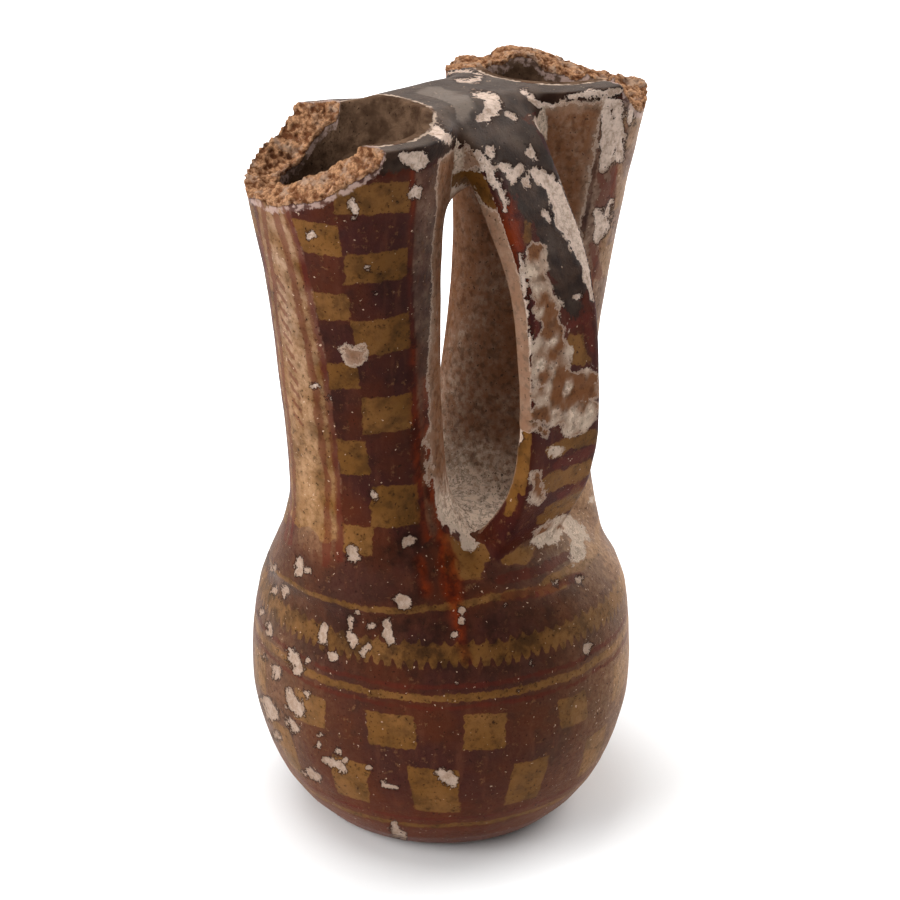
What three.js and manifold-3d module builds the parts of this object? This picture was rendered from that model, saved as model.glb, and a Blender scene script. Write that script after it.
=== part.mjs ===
// A double-spouted juglet of hand-built earthenware, painted and burnished, in millimetres with
// +Z up. The origin is the middle of the face that it rests on, the two necks stand side by side
// along X, and the strap handle is on the -Y side. It is made the way a potter makes it: a pinched
// base pad, two courses of coiled wall, a shoulder drawn in to a dome, two necks luted over holes
// in that dome, a web that ties the necks below their rims, and a strap from the web down to the
// shoulder. Each is a solid of its own, parted from its neighbours by the luting seam.
import * as THREE from 'three';
import { mergeVertices } from 'three/addons/utils/BufferGeometryUtils.js';
import Module from 'manifold-3d';

const wasm = await Module();
wasm.setup();

// Driving dimensions, in millimetres unless a comment says otherwise
const seam = 0.3; // parting between two luted pieces
const overrun = 4; // how far a cutting solid runs past what it cuts

// The round body
const bellyRadius = 45;
const bellyHeight = 38; // where the belly is widest
const wall = 7;
const floorThickness = 9;
const restRadius = 27; // the flat that it stands on
const heelRise = 1.2; // height of the worn edge round that flat
const heelDraw = 21.5; // how far the lower wall's curve draws in under the belly
const heelDepth = 1.5; // how far below the ground that curve would close
const domeHeight = 41.5; // from the belly to the top of the shoulder
const domeRound = 2.5; // fullness of the shoulder's curve, 2 for an ellipse
const hollowRound = 3.5; // fullness of the hollow's bowl
const lap = 5; // how far a scarfed seam climbs through the wall
const padHeight = 9; // outside heights of the three seams
const lowerHeight = 28;
const shoulderHeight = 51;

// The two necks. An angle is in degrees about the neck, from +X towards +Y. A break lowers the
// edge by its drop at one angle, and fades to nothing over the spreads either side.
const waistHeight = 88; // where a neck is narrowest
const boreRadius = 10.5;
const mouthCurve = 1.85; // power of the necks' widening towards the mouth
const footHeight = 20; // over which the luted foot widens
const footCurve = 1.5; // power of that widening
const footOuterShare = 0.2; // how much of it the side away from the other neck has
const footTurn = 2.5; // how soon round the neck the rest of it sets in
const ripple = 0.5; // unevenness of a broken edge
const leftNeck = {
  side: -1,
  stand: 25.5, // neck's middle at the waist, from the pot's axis
  lean: 0.06, // outward run for each millimetre of height
  waistRadius: 16,
  rimHeight: 172,
  mouthSwell: 7, // how much wider than the waist the rim is, on the radius
  boreSwell: 6.2,
  footSpread: 6, // how far the foot widens
  outerBreaks: [{ drop: 13, at: 168, before: 105, after: 88 }],
  innerBreaks: [{ drop: 11.5, at: 120, before: 70, after: 105 }],
};
const rightNeck = {
  side: 1,
  stand: 25.2,
  lean: 0.12,
  waistRadius: 16.8,
  rimHeight: 173.5,
  mouthSwell: 7.2,
  boreSwell: 5.5,
  footSpread: 7.5,
  outerBreaks: [{ drop: 6.2, at: -8, before: 85, after: 60 }, { drop: 7.5, at: -66, before: 32, after: 45 }],
  innerBreaks: [{ drop: 5, at: 12, before: 70, after: 48 }, { drop: 4.5, at: -62, before: 34, after: 44 }],
};

// The web between the rims
const webMiddle = -1.8; // its middle in Y
const webWidth = 26; // along Y, midway between the necks
const webFlare = 2; // how much wider it is where it meets them
const webTop = 174.5;
const webThickness = 18;
const archDrop = 8; // how much lower its underside is at the necks
const webReach = 25; // from its middle to each end, inside the necks
const webShift = 1.8; // its middle in X, where the gap between the necks is least
const webRound = 3; // squareness of its section

// The strap handle. Its path runs from the shoulder to the web in the plane of symmetry. Each
// row gives a point as shares of the reach and of the rise, then its width and thickness as
// shares of the strap's.
const strapWidth = 23.5;
const strapThickness = 5;
const strapReach = 34.5; // how far its middle stands out from the axis at about half its height
const strapSeat = 72; // height of its root on the shoulder
const strapRound = 3.5;
const strapShares = [
  [0.48, -0.11, 1.15, 1.9],
  [0.67, 0.02, 1.06, 1.6],
  [0.81, 0.1, 1.03, 1.3],
  [0.94, 0.19, 1.01, 1.1],
  [1, 0.3, 1, 1],
  [1.01, 0.42, 1, 1],
  [0.99, 0.54, 0.99, 1],
  [0.93, 0.68, 0.96, 1],
  [0.81, 0.8, 0.95, 1.05],
  [0.66, 0.91, 0.95, 1.15],
  [0.51, 0.99, 0.98, 1.35],
  [0.33, 1.03, 1.09, 1.65],
  [0.09, 1.04, 1.2, 1.8],
];

// Facets
const aroundBody = 48;
const aroundNeck = 40;
const aroundStrap = 20;

// Height share and radius share of a superellipse's quarter, from its widest to its tip.
function quarter(round, steps) {
  return Array.from({ length: steps + 1 }, (_, i) => {
    const turn = (Math.PI / 2) * (i / steps);
    const tip = i === steps;
    return { rise: Math.sin(turn) ** (2 / round), radius: tip ? 0 : Math.cos(turn) ** (2 / round) };
  });
}

function bow(rise, round) {
  return (1 - Math.min(Math.max(rise, 0), 1) ** round) ** (1 / round);
}

// Radius of the pot's outer face at a height, or of that face grown by a clearance.
function outerRadius(z, grow = 0) {
  if (z > bellyHeight) {
    return (bellyRadius + grow) * bow((z - bellyHeight) / (domeHeight + grow), domeRound);
  }
  return bellyRadius + grow - heelDraw * (1 - bow((bellyHeight - z) / (bellyHeight + heelDepth), 2));
}

function innerRadius(z) {
  if (z > bellyHeight) {
    return (bellyRadius - wall) * bow((z - bellyHeight) / (domeHeight - wall), domeRound);
  }
  return (bellyRadius - wall) * bow((bellyHeight - z) / (bellyHeight - floorThickness), hollowRound);
}

function steps(from, to, count) {
  return Array.from({ length: count + 1 }, (_, i) => from + ((to - from) * i) / count);
}

// A closed solid from a triangle soup: shared corners merged and empty triangles left out.
function solidOf(geometry) {
  geometry.deleteAttribute('normal');
  geometry.deleteAttribute('uv');
  const merged = mergeVertices(geometry);
  const index = merged.index.array;
  const kept = [];
  for (let i = 0; i < index.length; i += 3) {
    const [a, b, c] = [index[i], index[i + 1], index[i + 2]];
    if (a !== b && b !== c && c !== a) kept.push(a, b, c);
  }
  const made = new wasm.Manifold(new wasm.Mesh({
    numProp: 3,
    vertProperties: new Float32Array(merged.attributes.position.array),
    triVerts: new Uint32Array(kept),
  }));
  return made;
}

// A solid of revolution about Z from its half section, drawn up the outside and down the inside.
function turned(section) {
  const points = section.map(([radius, z]) => new THREE.Vector2(radius, z));
  return solidOf(new THREE.LatheGeometry(points, aroundBody).rotateX(Math.PI / 2));
}

// A skin over rings of corners. A looped skin joins its last ring to its first, as a pipe's wall
// does, and any other is closed at both ends.
function lofted(rings, looped) {
  const around = rings[0].length;
  const corners = rings.flat();
  const faces = [];
  const bands = looped ? rings.length : rings.length - 1;
  for (let r = 0; r < bands; r += 1) {
    const low = r * around;
    const high = ((r + 1) % rings.length) * around;
    for (let i = 0; i < around; i += 1) {
      const j = (i + 1) % around;
      faces.push(low + i, low + j, high + j, low + i, high + j, high + i);
    }
  }
  if (!looped) {
    const last = (rings.length - 1) * around;
    for (let i = 1; i < around - 1; i += 1) {
      faces.push(0, i + 1, i, last, last + i, last + i + 1);
    }
  }
  const geometry = new THREE.BufferGeometry().setFromPoints(corners);
  geometry.setIndex(faces);
  return solidOf(geometry);
}

// The half thickness of seam that each of two scarfed courses gives up, measured upright.
const seamHalf = (seam * Math.hypot(wall, lap)) / wall / 2;

function outerFace(from, to, count) {
  return steps(from, to, count).map((z) => [outerRadius(z), z]);
}

function innerFace(from, to, count) {
  return steps(from, to, count).map((z) => [innerRadius(z), z]);
}

// The base pad, with the floor of the hollow on top and the first seam round it
function makeBase() {
  const seamTop = padHeight + lap - seamHalf;
  const floorDepth = bellyHeight - floorThickness;
  const bowl = quarter(hollowRound, 10)
    .map(({ rise, radius }) => [(bellyRadius - wall) * radius, bellyHeight - floorDepth * rise])
    .filter(([, z]) => z < seamTop);
  return turned([
    [0, 0],
    [restRadius, 0],
    ...outerFace(heelRise, padHeight - seamHalf, 4),
    [innerRadius(seamTop), seamTop],
    ...bowl,
  ]);
}

// A course of coiled wall between two seams
function makeCourse(from, to) {
  return turned([
    ...outerFace(from + seamHalf, to - seamHalf, 6),
    ...innerFace(to + lap - seamHalf, from + lap + seamHalf, 6),
    [outerRadius(from + seamHalf), from + seamHalf],
  ]);
}

// The dome above a height, as points from there to the axis, for a surface this far inside
function domeFace(from, inset) {
  return quarter(domeRound, 13)
    .map(({ rise, radius }) => [(bellyRadius - inset) * radius, bellyHeight + (domeHeight - inset) * rise])
    .filter(([, z]) => z > from);
}

// The whole pot's outside as one solid, grown by the seam, which cuts what is luted on it
function bodyCutter() {
  return turned([
    [0, bellyHeight],
    [bellyRadius + seam, bellyHeight],
    ...domeFace(bellyHeight, -seam),
  ]);
}

function neckMiddle(neck, z) {
  return neck.side * (neck.stand + neck.lean * (z - waistHeight));
}

function neckRise(neck, z) {
  return Math.max(0, (z - waistHeight) / (neck.rimHeight - waistHeight));
}

// A neck's outer radius at a height, and at an angle because its foot spreads less on one side
function neckRadius(neck, z, angle) {
  const swell = neck.mouthSwell * neckRise(neck, z) ** mouthCurve;
  const turn = Math.cos(angle) * neck.side;
  const share = footOuterShare + (1 - footOuterShare) * Math.min(1, footTurn * (1 - turn));
  const depthShare = THREE.MathUtils.clamp((waistHeight - z) / footHeight, 0, 1);
  const foot = share * neck.footSpread * depthShare ** footCurve;
  return neck.waistRadius + swell + foot;
}

function boreSize(neck, z) {
  return boreRadius + neck.boreSwell * neckRise(neck, z) ** mouthCurve;
}

// How much of a break's drop there is at an angle
function breakShare({ at, before, after }, angle) {
  const degrees = THREE.MathUtils.radToDeg(angle);
  const away = THREE.MathUtils.euclideanModulo(degrees - at + 180, 360) - 180;
  const spread = away < 0 ? before : after;
  return Math.max(0, 1 - (away / spread) ** 2);
}

// Height of a broken edge at an angle, with a few uneven teeth where it is broken
function edgeHeight(neck, breaks, angle) {
  const shares = breaks.map((broken) => breakShare(broken, angle));
  const drop = Math.max(...breaks.map((broken, i) => broken.drop * shares[i]));
  const teeth = Math.sin(7 * angle) + Math.sin(11 * angle + 1);
  return neck.rimHeight - drop + ripple * teeth * Math.sqrt(Math.max(...shares));
}

const neckAngles = steps(0, 2 * Math.PI, aroundNeck).slice(0, -1);

function neckRing(neck, heightAt, grow = 0) {
  return neckAngles.map((angle) => {
    const z = heightAt(angle);
    const radius = neckRadius(neck, z, angle) + grow;
    return new THREE.Vector3(neckMiddle(neck, z) + radius * Math.cos(angle), radius * Math.sin(angle), z);
  });
}

function boreRing(neck, heightAt) {
  return neckAngles.map((angle) => {
    const z = heightAt(angle);
    const radius = boreSize(neck, z);
    return new THREE.Vector3(neckMiddle(neck, z) + radius * Math.cos(angle), radius * Math.sin(angle), z);
  });
}

// The foot of a neck starts inside the dome, which then cuts it to its seat.
const footBottom = shoulderHeight;

function makeNeck(neck) {
  const outerEdge = (angle) => edgeHeight(neck, neck.outerBreaks, angle);
  const innerEdge = (angle) => edgeHeight(neck, neck.innerBreaks, angle);
  const between = (from, edge, share) => (angle) => from + (edge(angle) - from) * share;
  const outside = steps(0, 1, 13).map((share) => neckRing(neck, between(footBottom, outerEdge, share)));
  const inside = steps(1, 0, 9).map((share) => boreRing(neck, between(footBottom, innerEdge, share)));
  return lofted([...outside, ...inside], true).subtract(bodyCutter());
}

// A neck without its bore, grown by the seam, which cuts what is luted against it
function neckCutter(neck) {
  const heights = steps(waistHeight, neck.rimHeight + overrun, 10);
  return lofted(heights.map((z) => neckRing(neck, () => z, seam)), false);
}

// The hole under a neck, through the shoulder
function boreCutter(neck) {
  const heights = [footBottom, bellyHeight + domeHeight + overrun];
  return lofted(heights.map((z) => boreRing(neck, () => z)), false);
}

function makeShoulder() {
  const outerStart = shoulderHeight + seamHalf;
  const innerStart = outerStart + lap;
  return turned([
    [outerRadius(outerStart), outerStart],
    ...domeFace(outerStart, 0),
    ...domeFace(innerStart, wall).reverse(),
    [innerRadius(innerStart), innerStart],
    [outerRadius(outerStart), outerStart],
  ]).subtract(boreCutter(leftNeck)).subtract(boreCutter(rightNeck));
}

// A rounded section's corners, as shares of its half width and half thickness
function sectionShares(round, around) {
  return steps(0, 2 * Math.PI, around).slice(0, -1).map((turn) => {
    const [across, through] = [Math.cos(turn), Math.sin(turn)];
    return [
      Math.sign(across) * Math.abs(across) ** (2 / round),
      Math.sign(through) * Math.abs(through) ** (2 / round),
    ];
  });
}

// The web's solid, which runs on into both necks and arches between them
function webSolid(grow = 0) {
  const rings = steps(-1, 1, 12).map((along) => {
    const x = webShift + webReach * along;
    const halfWidth = (webWidth + webFlare * along ** 2) / 2 + grow;
    const bottom = webTop - webThickness - archDrop * along ** 2 - grow;
    const halfHeight = (webTop + grow - bottom) / 2;
    return sectionShares(webRound, aroundStrap).map(([across, through]) => new THREE.Vector3(
      x,
      webMiddle + halfWidth * across,
      bottom + halfHeight * (1 + through),
    ));
  });
  return lofted(rings, false);
}

function makeWeb() {
  return webSolid().subtract(neckCutter(leftNeck)).subtract(neckCutter(rightNeck));
}

function makeStrap() {
  const rise = webTop - webThickness / 2 - strapSeat;
  const path = new THREE.CatmullRomCurve3(strapShares.map(([out, up]) => (
    new THREE.Vector3(0, -strapReach * out, strapSeat + rise * up)
  )));
  const girth = new THREE.CatmullRomCurve3(strapShares.map(([, , width, thickness]) => (
    new THREE.Vector3((strapWidth / 2) * width, (strapThickness / 2) * thickness, 0)
  )));
  const rings = steps(0, 1, 24).map((share) => {
    const middle = path.getPoint(share);
    const along = path.getTangent(share);
    const half = girth.getPoint(share);
    return sectionShares(strapRound, aroundStrap).map(([across, through]) => new THREE.Vector3(
      half.x * across,
      middle.y + half.y * through * along.z,
      middle.z - half.y * through * along.y,
    ));
  });
  return lofted(rings, false).subtract(bodyCutter()).subtract(webSolid(seam));
}

function pieceOf(name, solid, color, roughness) {
  const mesh = solid.getMesh();
  const geometry = new THREE.BufferGeometry();
  geometry.setAttribute('position', new THREE.BufferAttribute(mesh.vertProperties, 3));
  geometry.setIndex(new THREE.BufferAttribute(mesh.triVerts, 1));
  geometry.computeVertexNormals();
  const piece = new THREE.Mesh(geometry, new THREE.MeshStandardMaterial({ color, roughness, metalness: 0 }));
  piece.name = name;
  return piece;
}

const juglet = new THREE.Group();
juglet.add(
  pieceOf('base_pad', makeBase(), '#54251f', 0.6),
  pieceOf('lower_wall', makeCourse(padHeight, lowerHeight), '#6b3524', 0.5),
  pieceOf('belly_wall', makeCourse(lowerHeight, shoulderHeight), '#7a4a2c', 0.45),
  pieceOf('shoulder', makeShoulder(), '#5e2a20', 0.45),
  pieceOf('left_neck', makeNeck(leftNeck), '#74402a', 0.45),
  pieceOf('right_neck', makeNeck(rightNeck), '#7d6252', 0.7),
  pieceOf('rim_web', makeWeb(), '#2f2c2d', 0.55),
  pieceOf('strap_handle', makeStrap(), '#4b3832', 0.5),
);

export default juglet;
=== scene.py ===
# A double-spouted juglet of hand-built, painted and burnished earthenware, dressed for the eye.
# Lengths are in metres, with +Z up, and the pot stands on its base at the origin.
import math

import bpy
import numpy as np
from mathutils import Matrix, Vector, kdtree, noise


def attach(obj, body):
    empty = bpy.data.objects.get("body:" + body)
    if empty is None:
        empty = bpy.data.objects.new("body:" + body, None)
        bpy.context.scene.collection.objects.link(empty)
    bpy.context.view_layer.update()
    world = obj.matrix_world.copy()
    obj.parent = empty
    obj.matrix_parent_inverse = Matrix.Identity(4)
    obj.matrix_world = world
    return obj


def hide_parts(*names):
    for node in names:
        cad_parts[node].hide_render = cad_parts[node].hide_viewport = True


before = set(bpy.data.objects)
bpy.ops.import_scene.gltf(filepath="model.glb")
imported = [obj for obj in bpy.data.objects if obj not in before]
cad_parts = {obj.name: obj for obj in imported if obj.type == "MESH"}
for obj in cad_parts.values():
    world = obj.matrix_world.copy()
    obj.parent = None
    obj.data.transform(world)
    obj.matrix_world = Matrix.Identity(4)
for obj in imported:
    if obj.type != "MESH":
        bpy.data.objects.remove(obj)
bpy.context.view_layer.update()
MM = 0.001

# The camera stands at the photograph's viewing angle: above the rims, with the left neck nearest.
IMAGE_SIZE = 900
CAMERA_TURN = math.radians(-46.5)
CAMERA_RISE = math.radians(23.0)
CAMERA_ROLL = 0.004
CAMERA_DISTANCE = 520 * MM
AIM_ACROSS = 1.8 * MM
AIM_HEIGHT = 88.8 * MM
FOCAL_PIXELS = 2227.4
SENSOR_WIDTH = 36.0

level_across = Vector((math.cos(CAMERA_TURN), math.sin(CAMERA_TURN), 0))
towards_camera = Vector((
    math.sin(CAMERA_TURN) * math.cos(CAMERA_RISE),
    -math.cos(CAMERA_TURN) * math.cos(CAMERA_RISE),
    math.sin(CAMERA_RISE),
))
level_up = towards_camera.cross(level_across)
image_right = level_across * math.cos(CAMERA_ROLL) + level_up * math.sin(CAMERA_ROLL)
image_up = level_up * math.cos(CAMERA_ROLL) - level_across * math.sin(CAMERA_ROLL)
camera_place = level_across * AIM_ACROSS + Vector((0, 0, AIM_HEIGHT)) + towards_camera * CAMERA_DISTANCE

bpy.ops.object.camera_add(location=camera_place)
camera = bpy.context.object
camera.name = "photograph_view"
camera.matrix_world = Matrix.Translation(camera_place) @ Matrix(
    (image_right, image_up, towards_camera)
).transposed().to_4x4()
camera.data.sensor_width = SENSOR_WIDTH
camera.data.lens = FOCAL_PIXELS * SENSOR_WIDTH / IMAGE_SIZE
bpy.context.scene.camera = camera


def pixels_of(points):
    """Where points fall in the photograph's frame, and how far each is from the camera."""
    offset = points - np.array(camera_place)
    depth = -offset @ np.array(towards_camera)
    right = IMAGE_SIZE / 2 + FOCAL_PIXELS * (offset @ np.array(image_right)) / depth
    down = IMAGE_SIZE / 2 - FOCAL_PIXELS * (offset @ np.array(image_up)) / depth
    return right, down, depth


# The floor is a wide pale sheet that reads white and keeps the pot's shadow. Wide soft lamps
# stand on its left and its right, one hangs overhead, and a weak one fills in from the front.
FLOOR_SIZE = 12.0
FLOOR_DROP = 0.2 * MM
PAPER_GREY = 0.8
PAPER_ROUGHNESS = 0.9
GLOWS = [(30 * MM, 62 * MM, 0.33), (115 * MM, 330 * MM, 0.67)]  # where each begins, is full, how bright
MIRRORED_GLOW = 0.3
LAMPS = {
    "left_softbox": ((-0.80, 0.20, 0.55), 0.6, 8.0),
    "right_softbox": ((0.72, -0.12, 0.40), 0.6, 6.5),
    "top_softbox": ((-0.10, 0.25, 0.95), 0.7, 7.0),
    "front_fill": ((-0.75, -0.85, 0.60), 0.8, 1.6),
}
ROOM_LIGHT = 0.12
LIGHT_AIM = Vector((0, 0, 0.09))
WHITE = (1, 1, 1, 1)


class Shading:
    """A short way to build the nodes of a material or of the room."""

    def __init__(self, owner):
        owner.use_nodes = True
        self.owner = owner
        self.nodes = owner.node_tree.nodes
        self.links = owner.node_tree.links
        self.place = self.nodes.new("ShaderNodeTexCoord").outputs["Object"]

    def set(self, socket, value):
        if isinstance(value, bpy.types.NodeSocket):
            self.links.new(value, socket)
        else:
            socket.default_value = value

    def field(self, name):
        node = self.nodes.new("ShaderNodeAttribute")
        node.attribute_name = name
        return node.outputs["Fac"]

    def rays(self):
        """1 for a ray straight from the camera, and 1 for one that is mirrored or passes through."""
        kinds = self.nodes.new("ShaderNodeLightPath").outputs
        mirrored = self.math("MAXIMUM", kinds["Is Glossy Ray"], kinds["Is Transmission Ray"])
        return kinds["Is Camera Ray"], mirrored

    def math(self, operation, first, second=0.0):
        node = self.nodes.new("ShaderNodeMath")
        node.operation = operation
        self.set(node.inputs[0], first)
        self.set(node.inputs[1], second)
        return node.outputs[0]

    def times(self, *parts):
        product = parts[0]
        for part in parts[1:]:
            product = self.math("MULTIPLY", product, part)
        return product

    def grain(self, size, detail=3.0, rough=0.5):
        """Soft noise from 0 to 1, with grains about this many millimetres wide."""
        node = self.nodes.new("ShaderNodeTexNoise")
        node.inputs["Scale"].default_value = 1 / (size * MM)
        node.inputs["Detail"].default_value = detail
        node.inputs["Roughness"].default_value = rough
        self.links.new(self.place, node.inputs["Vector"])
        return node.outputs["Fac"]

    def drawn_out(self, size, detail, stretch):
        """Soft noise whose grains are drawn out along an axis."""
        mapping = self.nodes.new("ShaderNodeMapping")
        mapping.inputs["Scale"].default_value = stretch
        self.links.new(self.place, mapping.inputs["Vector"])
        grain = self.grain(size, detail)
        self.links.new(mapping.outputs["Vector"], grain.node.inputs["Vector"])
        return grain

    def ramp(self, value, low, high, to_low=0.0, to_high=1.0, kind="SMOOTHSTEP"):
        node = self.nodes.new("ShaderNodeMapRange")
        node.interpolation_type = kind
        self.set(node.inputs["Value"], value)
        node.inputs["From Min"].default_value = low
        node.inputs["From Max"].default_value = high
        node.inputs["To Min"].default_value = to_low
        node.inputs["To Max"].default_value = to_high
        return node.outputs["Result"]

    def bent(self, name, noise_socket, wander):
        """A field whose edge wanders by some millimetres."""
        waver = self.times(self.math("SUBTRACT", noise_socket, 0.5), wander)
        return self.math("ADD", self.field(name), waver)

    def within(self, field, softness):
        """1 inside a field, 0 outside."""
        return self.ramp(field, -softness, softness)

    def along(self, field, middle, half_width):
        """1 where a field is at a level, 0 farther from it than the half width."""
        away = self.math("ABSOLUTE", self.math("SUBTRACT", field, middle))
        return self.ramp(away, 0.4 * half_width, half_width, 1.0, 0.0)

    def mix(self, part, first, second):
        """A colour that goes from the first to the second."""
        node = self.nodes.new("ShaderNodeMix")
        node.data_type = "RGBA"
        self.set(node.inputs["Factor"], part)
        self.set(node.inputs["A"], first)
        self.set(node.inputs["B"], second)
        return node.outputs["Result"]

    def blend(self, part, first, second):
        """A number that goes from the first to the second."""
        node = self.nodes.new("ShaderNodeMix")
        self.set(node.inputs["Factor"], part)
        self.set(node.inputs["A"], first)
        self.set(node.inputs["B"], second)
        return node.outputs["Result"]


def pale_floor():
    make = Shading(bpy.data.materials.new("pale_sheet"))
    paper = make.nodes["Principled BSDF"].inputs
    paper["Base Color"].default_value = (PAPER_GREY, PAPER_GREY, PAPER_GREY, 1)
    paper["Roughness"].default_value = PAPER_ROUGHNESS
    paper["Emission Color"].default_value = WHITE
    away = make.nodes.new("ShaderNodeVectorMath")
    away.operation = "LENGTH"
    make.links.new(make.place, away.inputs[0])
    near, far = (make.ramp(away.outputs["Value"], *ends, 0, bright, "LINEAR") for *ends, bright in GLOWS)
    seen, mirrored = make.rays()
    seen_glow = make.times(seen, make.math("ADD", near, far))
    glow = make.math("MAXIMUM", seen_glow, make.times(mirrored, MIRRORED_GLOW))
    make.links.new(glow, paper["Emission Strength"])
    return make.owner


bpy.ops.object.select_all(action="DESELECT")
bpy.ops.mesh.primitive_plane_add(size=FLOOR_SIZE, location=(0, 0, -FLOOR_DROP))
floor = bpy.context.object
floor.name = "floor"
floor.data.materials.append(pale_floor())

for lamp_name, (lamp_place, lamp_size, lamp_power) in LAMPS.items():
    bpy.ops.object.light_add(type="AREA", location=lamp_place)
    lamp = bpy.context.object
    lamp.name = lamp_name
    lamp.data.shape = "SQUARE"
    lamp.data.size = lamp_size
    lamp.data.energy = lamp_power
    lamp.rotation_euler = (LIGHT_AIM - Vector(lamp_place)).to_track_quat("-Z", "Y").to_euler()

room = Shading(bpy.data.worlds.new("white_room"))
bpy.context.scene.world = room.owner
backdrop = room.nodes["Background"].inputs
backdrop["Color"].default_value = WHITE
room_glow = room.ramp(room.math("MAXIMUM", *room.rays()), 0, 1, ROOM_LIGHT, 1, "LINEAR")
room.links.new(room_glow, backdrop["Strength"])
bpy.context.scene.view_settings.view_transform = "Standard"

# The round body is built up from a pinched base pad with two coiled courses and a shoulder drawn
# in to a dome. Its outside is one form here, and its hollow another.
BELLY_RADIUS = 45 * MM
BELLY_HEIGHT = 38 * MM
WALL = 7 * MM
FLOOR_THICKNESS = 9 * MM
REST_RADIUS = 27 * MM
HEEL_RISE = 1.2 * MM
HEEL_DRAW = 21.5 * MM
HEEL_DEPTH = 1.5 * MM
DOME_HEIGHT = 41.5 * MM
DOME_ROUND = 2.5
HOLLOW_ROUND = 3.5
TIP_SHARE = 0.02
BULGES = [(0.5 * MM, 32 * MM, 15 * MM), (1.1 * MM, 60 * MM, 9 * MM)]  # fullness, height and spread
BODY_CORNERS = 96
BODY_RINGS = 28


def bow(rise, fullness):
    """Share of the radius left at a share of the rise, on a superellipse's quarter."""
    return (1 - np.clip(rise, 0, 1) ** fullness) ** (1 / fullness)


def body_radius(z):
    z = np.asarray(z, float)
    dome = BELLY_RADIUS * bow((z - BELLY_HEIGHT) / DOME_HEIGHT, DOME_ROUND)
    bowl = BELLY_RADIUS - HEEL_DRAW * (1 - bow((BELLY_HEIGHT - z) / (BELLY_HEIGHT + HEEL_DEPTH), 2))
    bulge = sum(full * np.exp(-((z - at) / spread) ** 2) for full, at, spread in BULGES)
    return np.where(z > BELLY_HEIGHT, dome, bowl) + bulge * (z > HEEL_RISE)


def hollow_radius(z):
    z = np.asarray(z, float)
    dome = bow((z - BELLY_HEIGHT) / (DOME_HEIGHT - WALL), DOME_ROUND)
    bowl = bow((BELLY_HEIGHT - z) / (BELLY_HEIGHT - FLOOR_THICKNESS), HOLLOW_ROUND)
    return (BELLY_RADIUS - WALL) * np.where(z > BELLY_HEIGHT, dome, bowl)


def start_disc(middle, radius, corners):
    """A filled disc, selected in edit mode, ready to be drawn up into a form."""
    bpy.ops.object.select_all(action="DESELECT")
    bpy.ops.mesh.primitive_circle_add(vertices=corners, radius=radius, fill_type="NGON", location=middle)
    bpy.ops.object.transform_apply(location=True, rotation=True, scale=True)
    bpy.ops.object.mode_set(mode="EDIT")
    bpy.ops.mesh.select_all(action="SELECT")


def draw_on(move, grow, middle, turn=0.0):
    """Extrudes the selected face by a move, then turns it about X and scales it about a middle."""
    bpy.ops.mesh.extrude_region_move(TRANSFORM_OT_translate={"value": move})
    if turn:
        bpy.ops.transform.rotate(value=-turn, orient_axis="X", center_override=middle)
    bpy.ops.transform.resize(value=grow, center_override=middle)


def close_form():
    bpy.ops.mesh.select_all(action="SELECT")
    bpy.ops.mesh.normals_make_consistent(inside=False)
    bpy.ops.object.mode_set(mode="OBJECT")
    return bpy.context.object


def stacked_form(rings, corners):
    """A closed form over level rings, each with its middle's X, its height, its radius and what
    its radius along Y has over that."""
    x, z, radius, wider = rings[0]
    start_disc((x, 0, z), radius, corners)
    bpy.ops.transform.resize(value=(1, 1 + wider / radius, 1), center_override=(x, 0, z))
    for (old_x, old_z, old_radius, old_wider), (x, z, radius, wider) in zip(rings, rings[1:]):
        grow = (radius / old_radius, (radius + wider) / (old_radius + old_wider), 1)
        draw_on((x - old_x, 0, z - old_z), grow, (x, 0, z))
    return close_form()


def body_form(grow=0.0):
    turns = np.linspace(0, math.pi / 2, BODY_RINGS // 2)
    rings = [(0, 0, REST_RADIUS, 0)]
    for t in turns:
        z = HEEL_RISE + (BELLY_HEIGHT - HEEL_RISE) * math.sin(t)
        rings.append((0, z, float(body_radius(z)) + grow, 0))
    for t in turns[1:]:
        z = BELLY_HEIGHT + DOME_HEIGHT * math.sin(t) ** (2 / DOME_ROUND)
        radius = max(float(body_radius(z)), TIP_SHARE * BELLY_RADIUS)
        rings.append((0, z + grow, radius + grow, 0))
    return stacked_form(rings, BODY_CORNERS)


def hollow_form():
    turns = np.linspace(-math.pi / 2, math.pi / 2, BODY_RINGS)
    rings = []
    for t in turns:
        if t < 0:
            z = BELLY_HEIGHT - (BELLY_HEIGHT - FLOOR_THICKNESS) * abs(math.sin(t)) ** (2 / HOLLOW_ROUND)
        else:
            z = BELLY_HEIGHT + (DOME_HEIGHT - WALL) * math.sin(t) ** (2 / DOME_ROUND)
        rings.append((0, z, max(float(hollow_radius(z)), TIP_SHARE * BELLY_RADIUS), 0))
    return stacked_form(rings, BODY_CORNERS)


# The two necks are coiled tubes that lean apart and flare to their mouths. Each is luted over a
# hole in the dome, and the wall is broken away round the outer side of its rim. A break has its
# drop, its angle about the neck, and how many degrees it runs before and after that.
WAIST_HEIGHT = 88 * MM
BORE_RADIUS = 10.5 * MM
MOUTH_CURVE = 1.85
FOOT_BOTTOM = 58 * MM
NECK_CORNERS = 80
NECK_RINGS = 26
OVERRUN = 4 * MM
LEFT_NECK = {
    "side": -1,
    "stand": 25.5 * MM,
    "lean": 0.06,
    "waist": 16 * MM,
    "rim": 172 * MM,
    "swell": 7 * MM,
    "bore_swell": 6.2 * MM,
    "bore_shift": 0.3 * MM,
    "foot": 10.4 * MM,
    "skirt": (5.2 * MM, 165 * MM, 1.5),
    "outer_breaks": [(13.4 * MM, 176, 108, 74)],
    "inner_breaks": [(12.5 * MM, 122, 76, 122)],
}
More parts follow.
